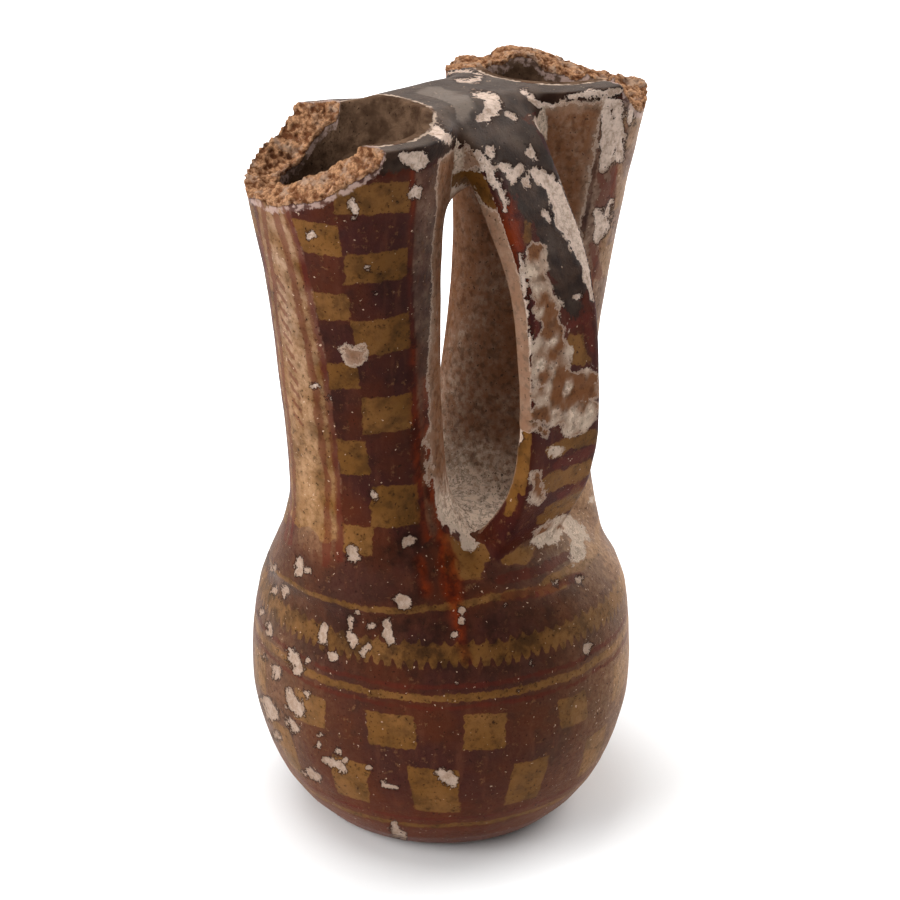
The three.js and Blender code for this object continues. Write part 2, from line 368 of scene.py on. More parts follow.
RIGHT_NECK = {
    "side": 1,
    "stand": 25.2 * MM,
    "lean": 0.12,
    "waist": 16.8 * MM,
    "rim": 173.5 * MM,
    "swell": 7.2 * MM,
    "bore_swell": 5.5 * MM,
    "bore_shift": 0,
    "foot": 7.0 * MM,
    "skirt": (8.0 * MM, 140 * MM, 1.9),
    "outer_breaks": [(6.2 * MM, -8, 85, 60), (7.5 * MM, -66, 32, 45), (1 * MM, 85, 60, 60)],
    "inner_breaks": [(5 * MM, 12, 70, 48), (4.5 * MM, -62, 34, 44), (1 * MM, 85, 60, 60)],
}
FOOT_HEIGHT = 22 * MM
FOOT_CURVE = 1.37
FOOT_ALONG_SHARE = 0.35  # how much of a foot's spread there is along X
TUCK_HEIGHT = 65 * MM  # below this the foot draws in again, inside the dome
TUCK_SLOPE = 1.2
RIPPLE = 0.5 * MM
RIPPLE_COUNTS = (7, 11)
SPARING = 8  # how soon a break clears the sound part of the rim
SMOOTHED_SHARE = 0.7  # how much of a break's lumps is lost at the outer edge
BREAK_SPAN = 64 * MM
BREAK_CELLS = 128
BREAK_LUMPS = [(7 * MM, 1.5 * MM, 3), (3 * MM, 0.9 * MM, 5)]


def values_of(rows, name, width=3, kind=float):
    """One property of every point, edge, corner or face of a mesh, as an array."""
    values = np.empty(len(rows) * width, kind)
    rows.foreach_get(name, values)
    return values.reshape(-1, width) if width > 1 else values


def places_of(form):
    return values_of(form.data.vertices, "co")


def neck_middle(neck, z):
    return neck["side"] * (neck["stand"] + neck["lean"] * (z - WAIST_HEIGHT))


def neck_rise(neck, z):
    return np.maximum(0, (z - WAIST_HEIGHT) / (neck["rim"] - WAIST_HEIGHT))


def neck_radius(neck, z):
    return neck["waist"] + neck["swell"] * neck_rise(neck, z) ** MOUTH_CURVE


def bore_size(neck, z):
    return BORE_RADIUS + neck["bore_swell"] * neck_rise(neck, z) ** MOUTH_CURVE


def bore_middle(neck, z):
    return neck_middle(neck, z) - neck["side"] * neck["bore_shift"] * neck_rise(neck, z)


def neck_form(neck, grow=0.0, top=0.0, bottom=FOOT_BOTTOM):
    """A filled neck with its spreading foot, and a skirt on the side towards the other neck."""
    rings = []
    for z in np.linspace(bottom, neck["rim"] + top, NECK_RINGS):
        foot = neck["foot"] * min(1, max(0, (WAIST_HEIGHT - z) / FOOT_HEIGHT)) ** FOOT_CURVE
        spread, spread_top, spread_curve = neck["skirt"]
        skirt = spread * max(0, (spread_top - z) / (spread_top - TUCK_HEIGHT)) ** spread_curve
        tuck = TUCK_SLOPE * max(0, TUCK_HEIGHT - z)
        middle = float(neck_middle(neck, z)) - neck["side"] * skirt / 2
        radius = float(neck_radius(neck, z)) + foot * FOOT_ALONG_SHARE + skirt / 2 - tuck + grow
        rings.append((middle, z, radius, foot * (1 - FOOT_ALONG_SHARE)))
    return stacked_form(rings, NECK_CORNERS)


def bore_form(neck):
    heights = np.linspace(FOOT_BOTTOM, neck["rim"] + OVERRUN, NECK_RINGS)
    rings = [(float(bore_middle(neck, z)), z, float(bore_size(neck, z)), 0) for z in heights]
    return stacked_form(rings, NECK_CORNERS)


def break_share(broken, angle):
    """How much of a break's drop there is at an angle about the neck, from 0 to 1."""
    at, before, after = broken[1:]
    away = (np.degrees(angle) - at + 180) % 360 - 180
    return np.maximum(0, 1 - (away / np.where(away < 0, before, after)) ** 2)


def edge_height(neck, breaks, angle):
    drop = np.max([broken[0] * break_share(broken, angle) for broken in breaks], axis=0)
    share = np.max([break_share(broken, angle) for broken in breaks], axis=0)
    teeth = sum(np.sin(count * angle + number) for number, count in enumerate(RIPPLE_COUNTS))
    spared = OVERRUN * (1 - np.minimum(1, share * SPARING))
    return neck["rim"] - drop + RIPPLE * teeth * np.sqrt(share) + spared


def across_wall(neck, from_middle):
    """Where a distance from a neck's middle lies in its wall at the rim: 0 at the bore, 1 outside."""
    bore, outside = bore_size(neck, neck["rim"]), neck_radius(neck, neck["rim"])
    return np.clip((from_middle - bore) / (outside - bore), 0, 1)


def break_height(neck, x, y):
    """Height of the broken face over a place, between the inner edge's height and the outer's."""
    outward_x = x - neck_middle(neck, neck["rim"])
    angle = np.arctan2(y, outward_x)
    inner = edge_height(neck, neck["inner_breaks"], angle)
    outer = edge_height(neck, neck["outer_breaks"], angle)
    return inner + (outer - inner) * across_wall(neck, np.hypot(outward_x, y))


def lumps(points, grain, seed):
    """Smooth noise from -1 to 1 at each point, its lumps about as wide as the grain."""
    shift = Vector((seed, 2 * seed, 3 * seed))
    return np.array([noise.noise(Vector(point) / grain + shift) for point in points])


def break_lumps(neck, points):
    """Unevenness of the broken face, least along its outer edge."""
    from_middle = np.hypot(points[:, 0] - neck_middle(neck, neck["rim"]), points[:, 1])
    flat = points * (1, 1, 0)
    bumps = sum(deep * lumps(flat, grain, seed) for grain, deep, seed in BREAK_LUMPS)
    return bumps * (1 - SMOOTHED_SHARE * across_wall(neck, from_middle))


def break_form(neck):
    """What is broken away from over a rim: its underside is the rough face of the break."""
    bpy.ops.object.select_all(action="DESELECT")
    bpy.ops.mesh.primitive_grid_add(
        x_subdivisions=BREAK_CELLS, y_subdivisions=BREAK_CELLS, size=BREAK_SPAN,
        location=(neck_middle(neck, neck["rim"]), 0, 0),
    )
    form = bpy.context.object
    bpy.ops.object.transform_apply(location=True, rotation=True, scale=True)
    places = places_of(form)
    places[:, 2] = break_height(neck, places[:, 0], places[:, 1])
    places[:, 2] += break_lumps(neck, places)
    form.data.vertices.foreach_set("co", places.ravel())
    bpy.ops.object.mode_set(mode="EDIT")
    bpy.ops.mesh.select_all(action="SELECT")
    bpy.ops.mesh.extrude_region_move(TRANSFORM_OT_translate={"value": (0, 0, BREAK_SPAN)})
    return close_form()


# The web is a thick bridge of clay that ties the two necks together below their rims. Its top is
# a level deck, and its underside is an arch.
WEB_MIDDLE = -1.8 * MM
WEB_WIDTH = 26 * MM
WEB_FLARE = 2 * MM
WEB_TOP = 174.2 * MM
WEB_THICKNESS = 18 * MM
ARCH_DROP = 8 * MM
WEB_REACH = 25 * MM
WEB_SHIFT = 1.8 * MM
WEB_CORNER = 5 * MM
CORNER_STEPS = 5
WEB_RINGS = 13


def start_slab(middle, width, height, corner, turn):
    """A filled, round-cornered oblong across X and Y, turned to its place and open for drawing on."""
    bpy.ops.object.select_all(action="DESELECT")
    bpy.ops.mesh.primitive_plane_add(size=1)
    form = bpy.context.object
    form.scale = (width, height, 1)
    bpy.ops.object.transform_apply(location=True, rotation=True, scale=True)
    bpy.ops.object.mode_set(mode="EDIT")
    bpy.ops.mesh.select_all(action="SELECT")
    bpy.ops.mesh.bevel(offset=corner, segments=CORNER_STEPS, affect="VERTICES")
    bpy.ops.object.mode_set(mode="OBJECT")
    form.rotation_euler = turn
    form.location = middle
    bpy.ops.object.transform_apply(location=True, rotation=True, scale=True)
    bpy.ops.object.mode_set(mode="EDIT")
    bpy.ops.mesh.select_all(action="SELECT")


def web_size(along, grow):
    """Middle, width and height of the web's section at a share of its reach from the middle."""
    bottom = WEB_TOP - WEB_THICKNESS - ARCH_DROP * along ** 2 - grow
    height = WEB_TOP + grow - bottom
    middle = Vector((WEB_SHIFT + WEB_REACH * along, WEB_MIDDLE, bottom + height / 2))
    return middle, WEB_WIDTH + WEB_FLARE * along ** 2 + 2 * grow, height


def web_form(grow=0.0):
    stations = [web_size(along, grow) for along in np.linspace(-1, 1, WEB_RINGS)]
    middle, width, height = stations[0]
    start_slab(middle, height, width, WEB_CORNER, (0, math.pi / 2, 0))
    for (old, old_width, old_height), (middle, width, height) in zip(stations, stations[1:]):
        draw_on(middle - old, (1, width / old_width, height / old_height), middle)
    return close_form()


# The strap handle is a flat strap of clay. It springs from the front of the web, bows outwards and
# is pressed down on the shoulder, where it spreads. Each row gives a point of its path, then its
# width and its thickness, all as shares of the strap's own sizes.
STRAP_WIDTH = 23 * MM
STRAP_THICKNESS = 4.6 * MM
STRAP_REACH = 33.5 * MM
STRAP_SEAT = 72 * MM
STRAP_RISE = 93.5 * MM
STRAP_CORNER = 1.5 * MM
STRAP_RINGS = 36
STRAP_STEP = 0.01  # the share of the path over which its slope is taken
ROW_END = 1.000001  # a smooth line is followed to just before its last row
STRAP_SHARES = [
    (0.49, -0.11, 1.02, 1.96),
    (0.69, 0.02, 0.98, 1.63),
    (0.84, 0.10, 0.98, 1.35),
    (0.98, 0.19, 1.00, 1.13),
    (1.05, 0.30, 1.02, 1.02),
    (1.06, 0.42, 1.02, 1.00),
    (1.04, 0.54, 1.01, 1.00),
    (0.98, 0.68, 0.98, 1.04),
    (0.84, 0.80, 0.97, 1.09),
    (0.67, 0.91, 0.96, 1.22),
    (0.52, 0.99, 1.00, 1.43),
    (0.34, 1.03, 1.11, 1.74),
    (0.09, 1.04, 1.22, 1.96),
]


def smooth_row(rows, share):
    """A row of values at a share of the way along a smooth line through all the rows."""
    place = min(share * (len(rows) - 1), len(rows) - ROW_END)
    first = int(place)
    part = place - first
    a, b, c, d = (np.array(rows[min(max(first + step, 0), len(rows) - 1)]) for step in (-1, 0, 1, 2))
    return b + part * ((c - a) + part * ((2 * a - 5 * b + 4 * c - d) + part * (3 * b - a - 3 * c + d))) / 2


def strap_station(share):
    out, up, width, thickness = smooth_row(STRAP_SHARES, share)
    middle = Vector((0, -STRAP_REACH * out, STRAP_SEAT + STRAP_RISE * up))
    return middle, STRAP_WIDTH * width, STRAP_THICKNESS * thickness


def strap_turn(share):
    """How far the strap's path leans from the upright, about X."""
    along = strap_station(min(share + STRAP_STEP, 1))[0] - strap_station(max(share - STRAP_STEP, 0))[0]
    return math.atan2(-along.y, along.z)


def strap_form(grow=0.0):
    shares = np.linspace(0, 1, STRAP_RINGS)
    middle, width, thickness = strap_station(0)
    turn = strap_turn(0)
    start_slab(middle, width + 2 * grow, thickness + 2 * grow, STRAP_CORNER + grow, (turn, 0, 0))
    for old_share, share in zip(shares, shares[1:]):
        old, old_width, old_thickness = strap_station(old_share)
        middle, width, thickness = strap_station(share)
        across = (width + 2 * grow) / (old_width + 2 * grow)
        through = (thickness + 2 * grow) / (old_thickness + 2 * grow)
        draw_on(middle - old, (across, through, through), middle, strap_turn(share) - strap_turn(old_share))
    return close_form()


# Luting. The forms are pressed into one mass of clay, the seams are wiped smooth with the fingers,
# the mass gets its hand-made unevenness, and then it is hollowed and its rims are broken.
LUTE_GRAIN = 0.8 * MM
CLAY_GRAIN = 0.57 * MM
WIPE_STRENGTH = 0.5
WIPE_ROUNDS = 3
LAST_WIPE_ROUNDS = 2
LUTE_ROUNDS = 130
LUTE_STEP = 10
HAND_LUMPS = [(22 * MM, 0.5 * MM, 21), (8 * MM, 0.22 * MM, 22)]
FLAT_FOOT = 4 * MM


def combine(target, tool, operation):
    """Joins, cuts or keeps one closed form with another, which is used up."""
    bpy.ops.object.select_all(action="DESELECT")
    bpy.context.view_layer.objects.active = target
    target.select_set(True)
    change = target.modifiers.new("combine", "BOOLEAN")
    change.object = tool
    change.operation = operation
    change.solver = "MANIFOLD"
    bpy.ops.object.modifier_apply(modifier=change.name)
    bpy.data.objects.remove(tool)
    return target


def remesh(target, grain):
    bpy.ops.object.select_all(action="DESELECT")
    bpy.context.view_layer.objects.active = target
    target.select_set(True)
    target.data.remesh_voxel_size = grain
    target.data.use_remesh_fix_poles = False
    bpy.ops.object.voxel_remesh()


def wipe(target, rounds):
    change = target.modifiers.new("wipe", "SMOOTH")
    change.factor = WIPE_STRENGTH
    change.iterations = rounds
    bpy.ops.object.modifier_apply(modifier=change.name)


def normals_of(form):
    return values_of(form.data.vertex_normals, "vector")


def lute(target, rounds):
    """Fills the inward creases with clay, round by round, and leaves the outward edges alone."""
    mesh = target.data
    first, second = values_of(mesh.edges, "vertices", 2, int).T
    here, there = np.concatenate([first, second]), np.concatenate([second, first])
    places = places_of(target)
    neighbours = np.bincount(here, minlength=len(places))
    for step in range(rounds):
        if step % LUTE_STEP == 0:
            mesh.vertices.foreach_set("co", places.ravel())
            mesh.update()
            normals = normals_of(target)
        means = np.stack([np.bincount(here, places[there, axis]) for axis in range(3)], axis=1)
        pull = means / neighbours[:, None] - places
        filled = np.maximum(0, (pull * normals).sum(axis=1))
        places += normals * filled[:, None] * WIPE_STRENGTH
    mesh.vertices.foreach_set("co", places.ravel())
    mesh.update()


def knead(target):
    """The slight unevenness of walls built and scraped by hand. The flat foot stays flat."""
    places = places_of(target)
    raised = np.clip(places[:, 2] / FLAT_FOOT - 0.5, 0, 1)
    swell = sum(deep * lumps(places, grain, seed) for grain, deep, seed in HAND_LUMPS)
    places += normals_of(target) * (swell * raised)[:, None]
    target.data.vertices.foreach_set("co", places.ravel())
    target.data.update()


clay = body_form()
clay.name = "clay"
for form in (neck_form(LEFT_NECK), neck_form(RIGHT_NECK), web_form(), strap_form()):
    combine(clay, form, "UNION")
remesh(clay, LUTE_GRAIN)
lute(clay, LUTE_ROUNDS)
wipe(clay, WIPE_ROUNDS)
knead(clay)
for form in (hollow_form(), bore_form(LEFT_NECK), bore_form(RIGHT_NECK)):
    combine(clay, form, "DIFFERENCE")
for neck in (LEFT_NECK, RIGHT_NECK):
    combine(clay, break_form(neck), "DIFFERENCE")
remesh(clay, CLAY_GRAIN)
wipe(clay, LAST_WIPE_ROUNDS)


# Painting. Every paint, bare place and loss is a field on the clay: how far inside it a point
# lies, in millimetres, and below zero outside. The material draws each edge where its field is 0.
FAR = -9.0
STRAP_STEPS = 80
HOLLOW_MARGIN = 2.2 * MM
HOLLOW_FLOOR, BORE_LOW, HOLLOW_TOP = 4, 62, 76  # heights in millimetres, as are the next ones
BREAK_LOW, WEB_LOW, STRAP_HIGH, NECK_LOW = 150, 145, 170, 60
HOLLOW_GAP = -3
STRAP_SLACK, NECK_SLACK = 0.9, 1.2  # how far off its own surface a place may lie
STRAP_CLEAR, NECK_CLEAR = 0.6, 0.3  # how far off the body it has to lie
STRAP_BACK = -12 * MM
LEAST_BREAK = 0.03
places = places_of(clay)
normals = normals_of(clay)
across, down, depth = pixels_of(places)
pixels_per_mm = FOCAL_PIXELS / depth * MM
to_camera = np.array(camera_place) - places
to_camera /= np.linalg.norm(to_camera, axis=1)[:, None]
facing = (normals * to_camera).sum(axis=1)
height = places[:, 2] / MM
spin = np.degrees(np.arctan2(places[:, 1], places[:, 0]))
reach = np.hypot(places[:, 0], places[:, 1]) / MM


def wrapped(degrees):
    return (degrees + 180) % 360 - 180


def around_neck(neck):
    """Angle about a neck, and how far outside its own surface each point lies."""
    offset = places[:, 0] - neck_middle(neck, places[:, 2])
    outside = np.hypot(offset, places[:, 1]) - neck_radius(neck, places[:, 2])
    return np.degrees(np.arctan2(places[:, 1], offset)), outside / MM


def off_strap():
    """How far outside the strap's section each point lies, and how far along the strap it is."""
    shares = np.linspace(0, 1, STRAP_STEPS)
    stations = [strap_station(share) for share in shares]
    middles = np.array([station[0] for station in stations])
    sizes = np.array([station[1:] for station in stations])
    turns = np.array([strap_turn(share) for share in shares])
    gap = places[:, None, 1:] - middles[None, :, 1:]
    nearest = np.argmin((gap ** 2).sum(axis=2), axis=1)
    gap = gap[np.arange(len(places)), nearest]
    turn = turns[nearest]
    through = gap[:, 0] * np.cos(turn) + gap[:, 1] * np.sin(turn)
    width, thickness = sizes[nearest].T
    return np.maximum(abs(places[:, 0]) - width / 2, abs(through) - thickness / 2) / MM, shares[nearest]


left_angle, off_left = around_neck(LEFT_NECK)
right_angle, off_right = around_neck(RIGHT_NECK)
strap_gap, strap_share = off_strap()
off_body = reach - body_radius(places[:, 2]) / MM

inside = np.full(len(places), FAR)
for neck in (LEFT_NECK, RIGHT_NECK):
    bore_gap = np.hypot(places[:, 0] - bore_middle(neck, places[:, 2]), places[:, 1])
    bore_depth = (bore_size(neck, places[:, 2]) + HOLLOW_MARGIN - bore_gap) / MM
    inside = np.maximum(inside, np.where(height > BORE_LOW, bore_depth, FAR))
in_hollow = (off_body < HOLLOW_GAP) & (height < HOLLOW_TOP) & (height > HOLLOW_FLOOR)
inside = np.where(in_hollow, -HOLLOW_GAP, inside)

broken = np.full(len(places), FAR)
for neck in (LEFT_NECK, RIGHT_NECK):
    near = (height > BREAK_LOW) & (places[:, 0] * neck["side"] > 0)
    spots = places[near]
    face = break_height(neck, spots[:, 0], spots[:, 1]) + break_lumps(neck, spots)
    about_rim = np.arctan2(spots[:, 1], spots[:, 0] - neck_middle(neck, neck["rim"]))
    breaks = neck["outer_breaks"] + neck["inner_breaks"]
    lost = np.max([break_share(piece, about_rim) for piece in breaks], axis=0) > LEAST_BREAK
    on_face = np.maximum(broken[near], 1.0 - abs(spots[:, 2] - face) / MM)
    broken[near] = np.where(lost, on_face, broken[near])

outside_skin = inside < 0
on_strap = outside_skin & (strap_gap < STRAP_SLACK) & (places[:, 1] < STRAP_BACK)
on_strap &= (off_body > STRAP_CLEAR) & (height < STRAP_HIGH)
neck_skin = outside_skin & ~on_strap & (off_body > NECK_CLEAR) & (height > NECK_LOW)
on_left = neck_skin & (off_left < NECK_SLACK) & (places[:, 0] < 0)
on_right = neck_skin & (off_right < NECK_SLACK) & (places[:, 0] > 0)
on_web = outside_skin & ~on_strap & ~on_left & ~on_right & (height > WEB_LOW)
on_body = outside_skin & ~on_strap & ~on_left & ~on_right & ~on_web


# The brush wandered and the slip has worn, so painted edges bend. Each shift has its grain, its
# reach and its seed. Below, a factor beside one of them says how much it counts in that place.
SHIFTS = [(9 * MM, 0.9, 31), (7 * MM, 0.9, 32), (1.7 * MM, 0.4, 33), (4 * MM, 1.0, 34), (16 * MM, 1.0, 35)]
sway, drift, fray, patchy, cloudy = (much * lumps(places, grain, seed) for grain, much, seed in SHIFTS)
# The bare clay is painted darker higher up, as painted shade between the necks and under the web, and paler
# low down. A random tone is laid over that.
SHADE_ABOVE, SHADE_FADE = 97, 14  # the bare clay grows paler below this height, over this much
pale_tone_and_shade = np.clip((SHADE_ABOVE - height) / SHADE_FADE, 0, 1.25)
pale_tone_and_shade = np.maximum(pale_tone_and_shade, 0.18 + 0.25 * np.clip(cloudy, 0, 1))


SWELL_SHARE = 0.45  # how much a stroke's width wavers
SWELL_ENDS = (0.5, 1.6)
EDGE_ON = (20, 1)  # how a stroke fades where the surface turns from the camera


def stroke(rows, where):
    """Field of a brush stroke or a chip in the photograph: pixel across, pixel down, half width."""
    field = np.full(len(places), FAR)
    x, y = across[where], down[where]
    swollen = np.clip(1 + SWELL_SHARE * (patchy + 1.5 * fray)[where], *SWELL_ENDS)
    best = np.full(x.shape, np.inf)
    if len(rows) == 1:
        rows = [rows[0], rows[0]]
    for (ax, ay, ar), (bx, by, br) in zip(rows, rows[1:]):
        run = max((bx - ax) ** 2 + (by - ay) ** 2, 1e-6)
        part = np.clip(((x - ax) * (bx - ax) + (y - ay) * (by - ay)) / run, 0, 1)
        gap = np.hypot(x - ax - part * (bx - ax), y - ay - part * (by - ay))
        best = np.minimum(best, gap / swollen - (ar + part * (br - ar)))
    field[where] = np.minimum(-best / pixels_per_mm[where], facing[where] * EDGE_ON[0] - EDGE_ON[1])
    return field


def add(field, rows_list, where):
    for rows in rows_list:
        np.maximum(field, stroke(rows, where), out=field)


ochre = np.full(len(places), FAR)
black = np.full(len(places), FAR)
amber = np.full(len(places), FAR)
red = np.full(len(places), FAR)
loss = np.full(len(places), FAR)
bare = np.full(len(places), FAR)
# Besides wear, this field carries painted light: the body's sides and upward faces are painted paler as
# side light and sheen.
worn_and_lit = np.zeros(len(places))  # how far the slip is rubbed down to the tan body, from 0 to 1
grime = np.zeros(len(places))  # how far dark varnish and dirt cover it, from 0 to 1

# Paint on the body: yellow lines and a toothed band on the shoulder, then two rows of checks.
LINES = [(67.4, 0.75), (47.9, 1.0), (11.3, 0.7)]
RED_LINES = [(50.6, 0.6), (45.6, 0.5), (14.0, 0.5)]
BAND_TOP, BAND_BOTTOM = 61.0, 54.6
TEETH, TOOTH_LENGTH = 112, 2.0
SCALLOPS, SCALLOP_DROP = 88, 1.5
CHECK_ROWS = [(38.9, 4.3, -151.0), (22.9, 6.3, -137.5)]
CHECKS = 13
CHECK_HALF_TURN = 6.3
CHECK_STEP = 360 / CHECKS
LEAST_REACH = 5
level = height + 0.5 * sway + 0.6 * fray
turned = spin + np.degrees(0.8 * (drift + fray) / np.maximum(reach, LEAST_REACH))
for rows, slip in ((LINES, ochre), (RED_LINES, red)):
    for line_height, half_width in rows:
        line = half_width - abs(level - line_height) - 0.5 * np.maximum(0, patchy)
        slip[on_body] = np.maximum(slip, line)[on_body]
tooth = np.maximum(0, np.sin(np.radians(turned) * TEETH)) ** 0.6
scallop = abs(np.sin(np.radians(turned) * SCALLOPS / 2)) ** 0.7
from_top = BAND_TOP - SCALLOP_DROP * scallop - level
from_bottom = level - BAND_BOTTOM - TOOTH_LENGTH * tooth
ochre = np.where(on_body, np.maximum(ochre, np.minimum(from_top, from_bottom)), ochre)
for row, (row_height, half_height, first) in enumerate(CHECK_ROWS):
    turn = wrapped(turned - first) / CHECK_STEP
    number = np.round(turn).astype(int)
    jitter = np.sin(number * 2.3 + row) * 0.7
    offset = (turn - number) * CHECK_STEP + jitter + 0.12 * np.cos(number * 3.1) * (height - row_height)
    side = (CHECK_HALF_TURN + 0.9 * np.cos(number * 1.7) - abs(offset)) * np.radians(1) * reach
    slant = 0.06 * np.sin(number * 1.3 + 2 * row) * offset
    check = np.minimum(side, half_height + 0.5 * jitter - abs(level + slant - row_height))
    ochre = np.where(on_body, np.maximum(ochre, check), ochre)
GRIME_HEIGHT, GRIME_SPREAD, GRIME_STRENGTH = 60.5, 10.0, 0.62
# The body is painted paler towards its left and right sides as the camera sees them: partly slip rubbed
# down to the tan, partly painted side light and sheen. Its grime thins there too.
WORN_AND_LIT_SIDES = [(-43, 41, 1.2), (150, 36, 0.42), (60, 40, 0.3)]  # angle, spread and strength
rubbed_and_lit = np.zeros(len(places))
for at, spread, strength in WORN_AND_LIT_SIDES:
    rubbed_and_lit = np.maximum(rubbed_and_lit, strength * np.exp(-(wrapped(spin - at) / spread) ** 2))
body_worn_and_lit = rubbed_and_lit * (0.75 + 0.5 * cloudy) + 0.04
band_grime = GRIME_STRENGTH * np.exp(-((height - GRIME_HEIGHT) / GRIME_SPREAD) ** 2)
body_grime = (band_grime + 0.18) * (1 - 0.8 * rubbed_and_lit) + 0.35 * np.clip(cloudy, 0, 1)
worn_and_lit = np.where(on_body, body_worn_and_lit, worn_and_lit)
grime = np.where(on_body, body_grime, grime)

# Paint on the necks: on each side of a ticked band, stripes and then a panel of two columns of
# checks. The side towards the other neck is left bare.
COLUMNS = [
    [(153.5, 3.7), (137.6, 3.2), (121.3, 3.1), (102.3, 4.2), (82.5, 3.2)],
    [(162.6, 3.5), (146.6, 3.4), (130.0, 4.1), (112.3, 4.2), (90.3, 4.9)],
]
TICK_PITCH = 3.2
TICK_LOW, TICK_HIGH = 107, 143
TICK_TURN = 3
PANEL_FOOT, PANEL_RISE = 90.0, 75.0
STRIPE_WIDTH, THIN_STRIPE_TURN = 5.5, 12.5
AMBER_HALF_TURN = 4.0
TAN_FOOT, STRIPE_FOOT = 82, 76
PAINT_FOOT, FADE_FOOT, FADE_HEIGHT = 71, 75, 9  # the necks' paint runs out on the shoulder
FOOT_SLACK = 4
HIGH_FOOT, HIGH_RISE = 118, 20
FRONTS = (176, 4)  # the angle of each neck's outer side
FLAKING = (-104, -40)  # the right neck's flaked side
climb = np.clip((height - PANEL_FOOT) / PANEL_RISE, 0, 1)
panel_start = 32.5 - 18 * climb ** 2
panel_middle = 55.5 - 12 * climb ** 1.2
panel_end = 92 - 5 * climb
high = np.clip((height - HIGH_FOOT) / HIGH_RISE, 0, 1)
near_foot = on_body & (height > PAINT_FOOT)
left_paint = on_left | (near_foot & (off_left < FOOT_SLACK) & (places[:, 0] < 0))
right_paint = on_right | (near_foot & (off_right < FOOT_SLACK) & (places[:, 0] > 0))
foot_fade = np.clip((height - FADE_FOOT + 3 * drift) / FADE_HEIGHT, 0, 1)
neck_paints = zip((LEFT_NECK, RIGHT_NECK), (left_angle, right_angle), (left_paint, right_paint), FRONTS)
for neck, angle, on_neck, front in neck_paints:
    arc = np.radians(1) * neck_radius(neck, places[:, 2]) / MM
    about = wrapped(angle - front)
    turn = abs(about) + 0.6 * (drift + fray) / arc
    painted = []
    for (start, end), column in zip(((panel_start, panel_middle), (panel_middle, panel_end)), COLUMNS):
        for number, (middle, half_height) in enumerate(column):
            slant = 0.25 * np.sin(2.1 * number + middle) * (height - middle)
            side = np.minimum(turn - start + slant, end - turn) * arc
            tilt = 0.025 * np.cos(1.7 * number) * (turn - start)
            rise = abs(height + 0.4 * sway + 0.5 * fray + tilt - middle)
            painted.append(np.minimum(side, half_height - rise))
    painted.append(np.minimum((panel_start - 3.5 - turn) * arc, height - TAN_FOOT + 4 * drift + 3 * fray))
    ochre = np.where(on_neck, np.maximum(ochre, np.max(painted, axis=0)), ochre)
    stripe = np.minimum(turn - panel_start + STRIPE_WIDTH, panel_start - turn) * arc
    thin = 0.9 + 0.6 * patchy - abs(turn - panel_start + THIN_STRIPE_TURN) * arc
    ticks = abs((height / TICK_PITCH + (about + TICK_TURN) * arc / 4) % 1 - 0.5) * TICK_PITCH - 0.9
    ticks = np.minimum(ticks, 1.6 - abs(about + TICK_TURN) * arc)
    ticks = np.where((height > TICK_LOW) & (height < TICK_HIGH), ticks, FAR)
    lines = np.maximum(np.maximum(stripe, thin), ticks)
    red = np.where(on_neck, np.maximum(red, np.minimum(lines, height - STRIPE_FOOT + 4 * drift)), red)
    amber_edge = (AMBER_HALF_TURN - abs(turn - panel_end - 2.5)) * arc - 1.0 * high
    amber = np.where(on_neck, np.maximum(amber, amber_edge), amber)
    bare_back = (turn - panel_end - 17 - 7 * high) * arc + 0.5 * patchy
    bare = np.where(on_neck, np.maximum(bare, bare_back), bare)
    tan = (0.3 + 0.4 * np.clip((panel_start - 14 - turn) / 14, 0, 1) + 0.5 * patchy) * (turn < panel_start)
    past_panel = turn > panel_end + 5
    tan = np.clip(np.where(past_panel, 0.3 + 0.3 * patchy, tan + 0.03), 0, 1)
    neck_grime = np.where(past_panel, 0.45, 0.3 + 0.5 * cloudy - 0.5 * tan)
    worn_and_lit = np.where(on_neck, body_worn_and_lit + (tan - body_worn_and_lit) * foot_fade, worn_and_lit)
    grime = np.where(on_neck, body_grime + (neck_grime - body_grime) * foot_fade, grime)
flaking = on_right & (right_angle > FLAKING[0]) & (right_angle < FLAKING[1])
worn_and_lit = np.where(flaking, 0.6 + 0.3 * patchy, worn_and_lit)
grime = np.where(flaking, 0.1, grime)

# Paint on the web and the strap, with the flaked places that the photograph shows.
DECK_CHIPS = [
    [(474, 94, 2), (486, 95, 4), (493, 100, 7), (492, 108, 8), (488, 116, 6), (478, 120, 3)],
    [(491, 127, 4), (501, 128, 5)], [(483, 128, 1.5)], [(476, 132, 2)],
    [(457, 80, 1.5), (470, 80, 2), (480, 78, 3)],
    [(446, 73, 1), (458, 70, 1.3), (470, 71, 1.3), (481, 74, 1)],
    [(513, 143, 3), (524, 147, 4)], [(534, 145, 3), (538, 153, 5), (541, 157, 3)],
    [(424, 127, 3), (437, 131, 7), (447, 138, 5)], [(447, 66, 2), (456, 62, 2)],
]
STRAP_CHIPS = [
    [(503, 165, 4), (509, 171, 5)], [(513, 176, 6), (520, 167, 4)], [(526, 181, 5)],
    [(490, 150, 4), (493, 156, 3)], [(478, 154, 4), (476, 163, 4)], [(484, 158, 3), (482, 170, 4)],
    [(487, 163, 4), (492, 176, 5), (497, 186, 3)], [(498, 182, 3), (504, 198, 3)],
    [(506, 198, 2), (505, 210, 2)],
    [(535, 172, 5), (546, 180, 8), (556, 192, 9), (564, 204, 11), (564, 216, 12), (571, 228, 10),
     (578, 242, 8), (585, 260, 6), (590, 280, 4), (593, 300, 2)],
    [(532, 252, 7), (540, 258, 7), (533, 268, 5)], [(579, 297, 4)], [(546, 214, 3), (550, 219, 3)],
    [(530, 152, 4), (534, 158, 3)], [(515, 117, 3), (507, 113, 2)],
    [(520, 255, 2), (524, 275, 3), (524, 295, 3), (527, 315, 2)],
    [(528, 330, 2), (530, 350, 3), (528, 365, 2)],
]
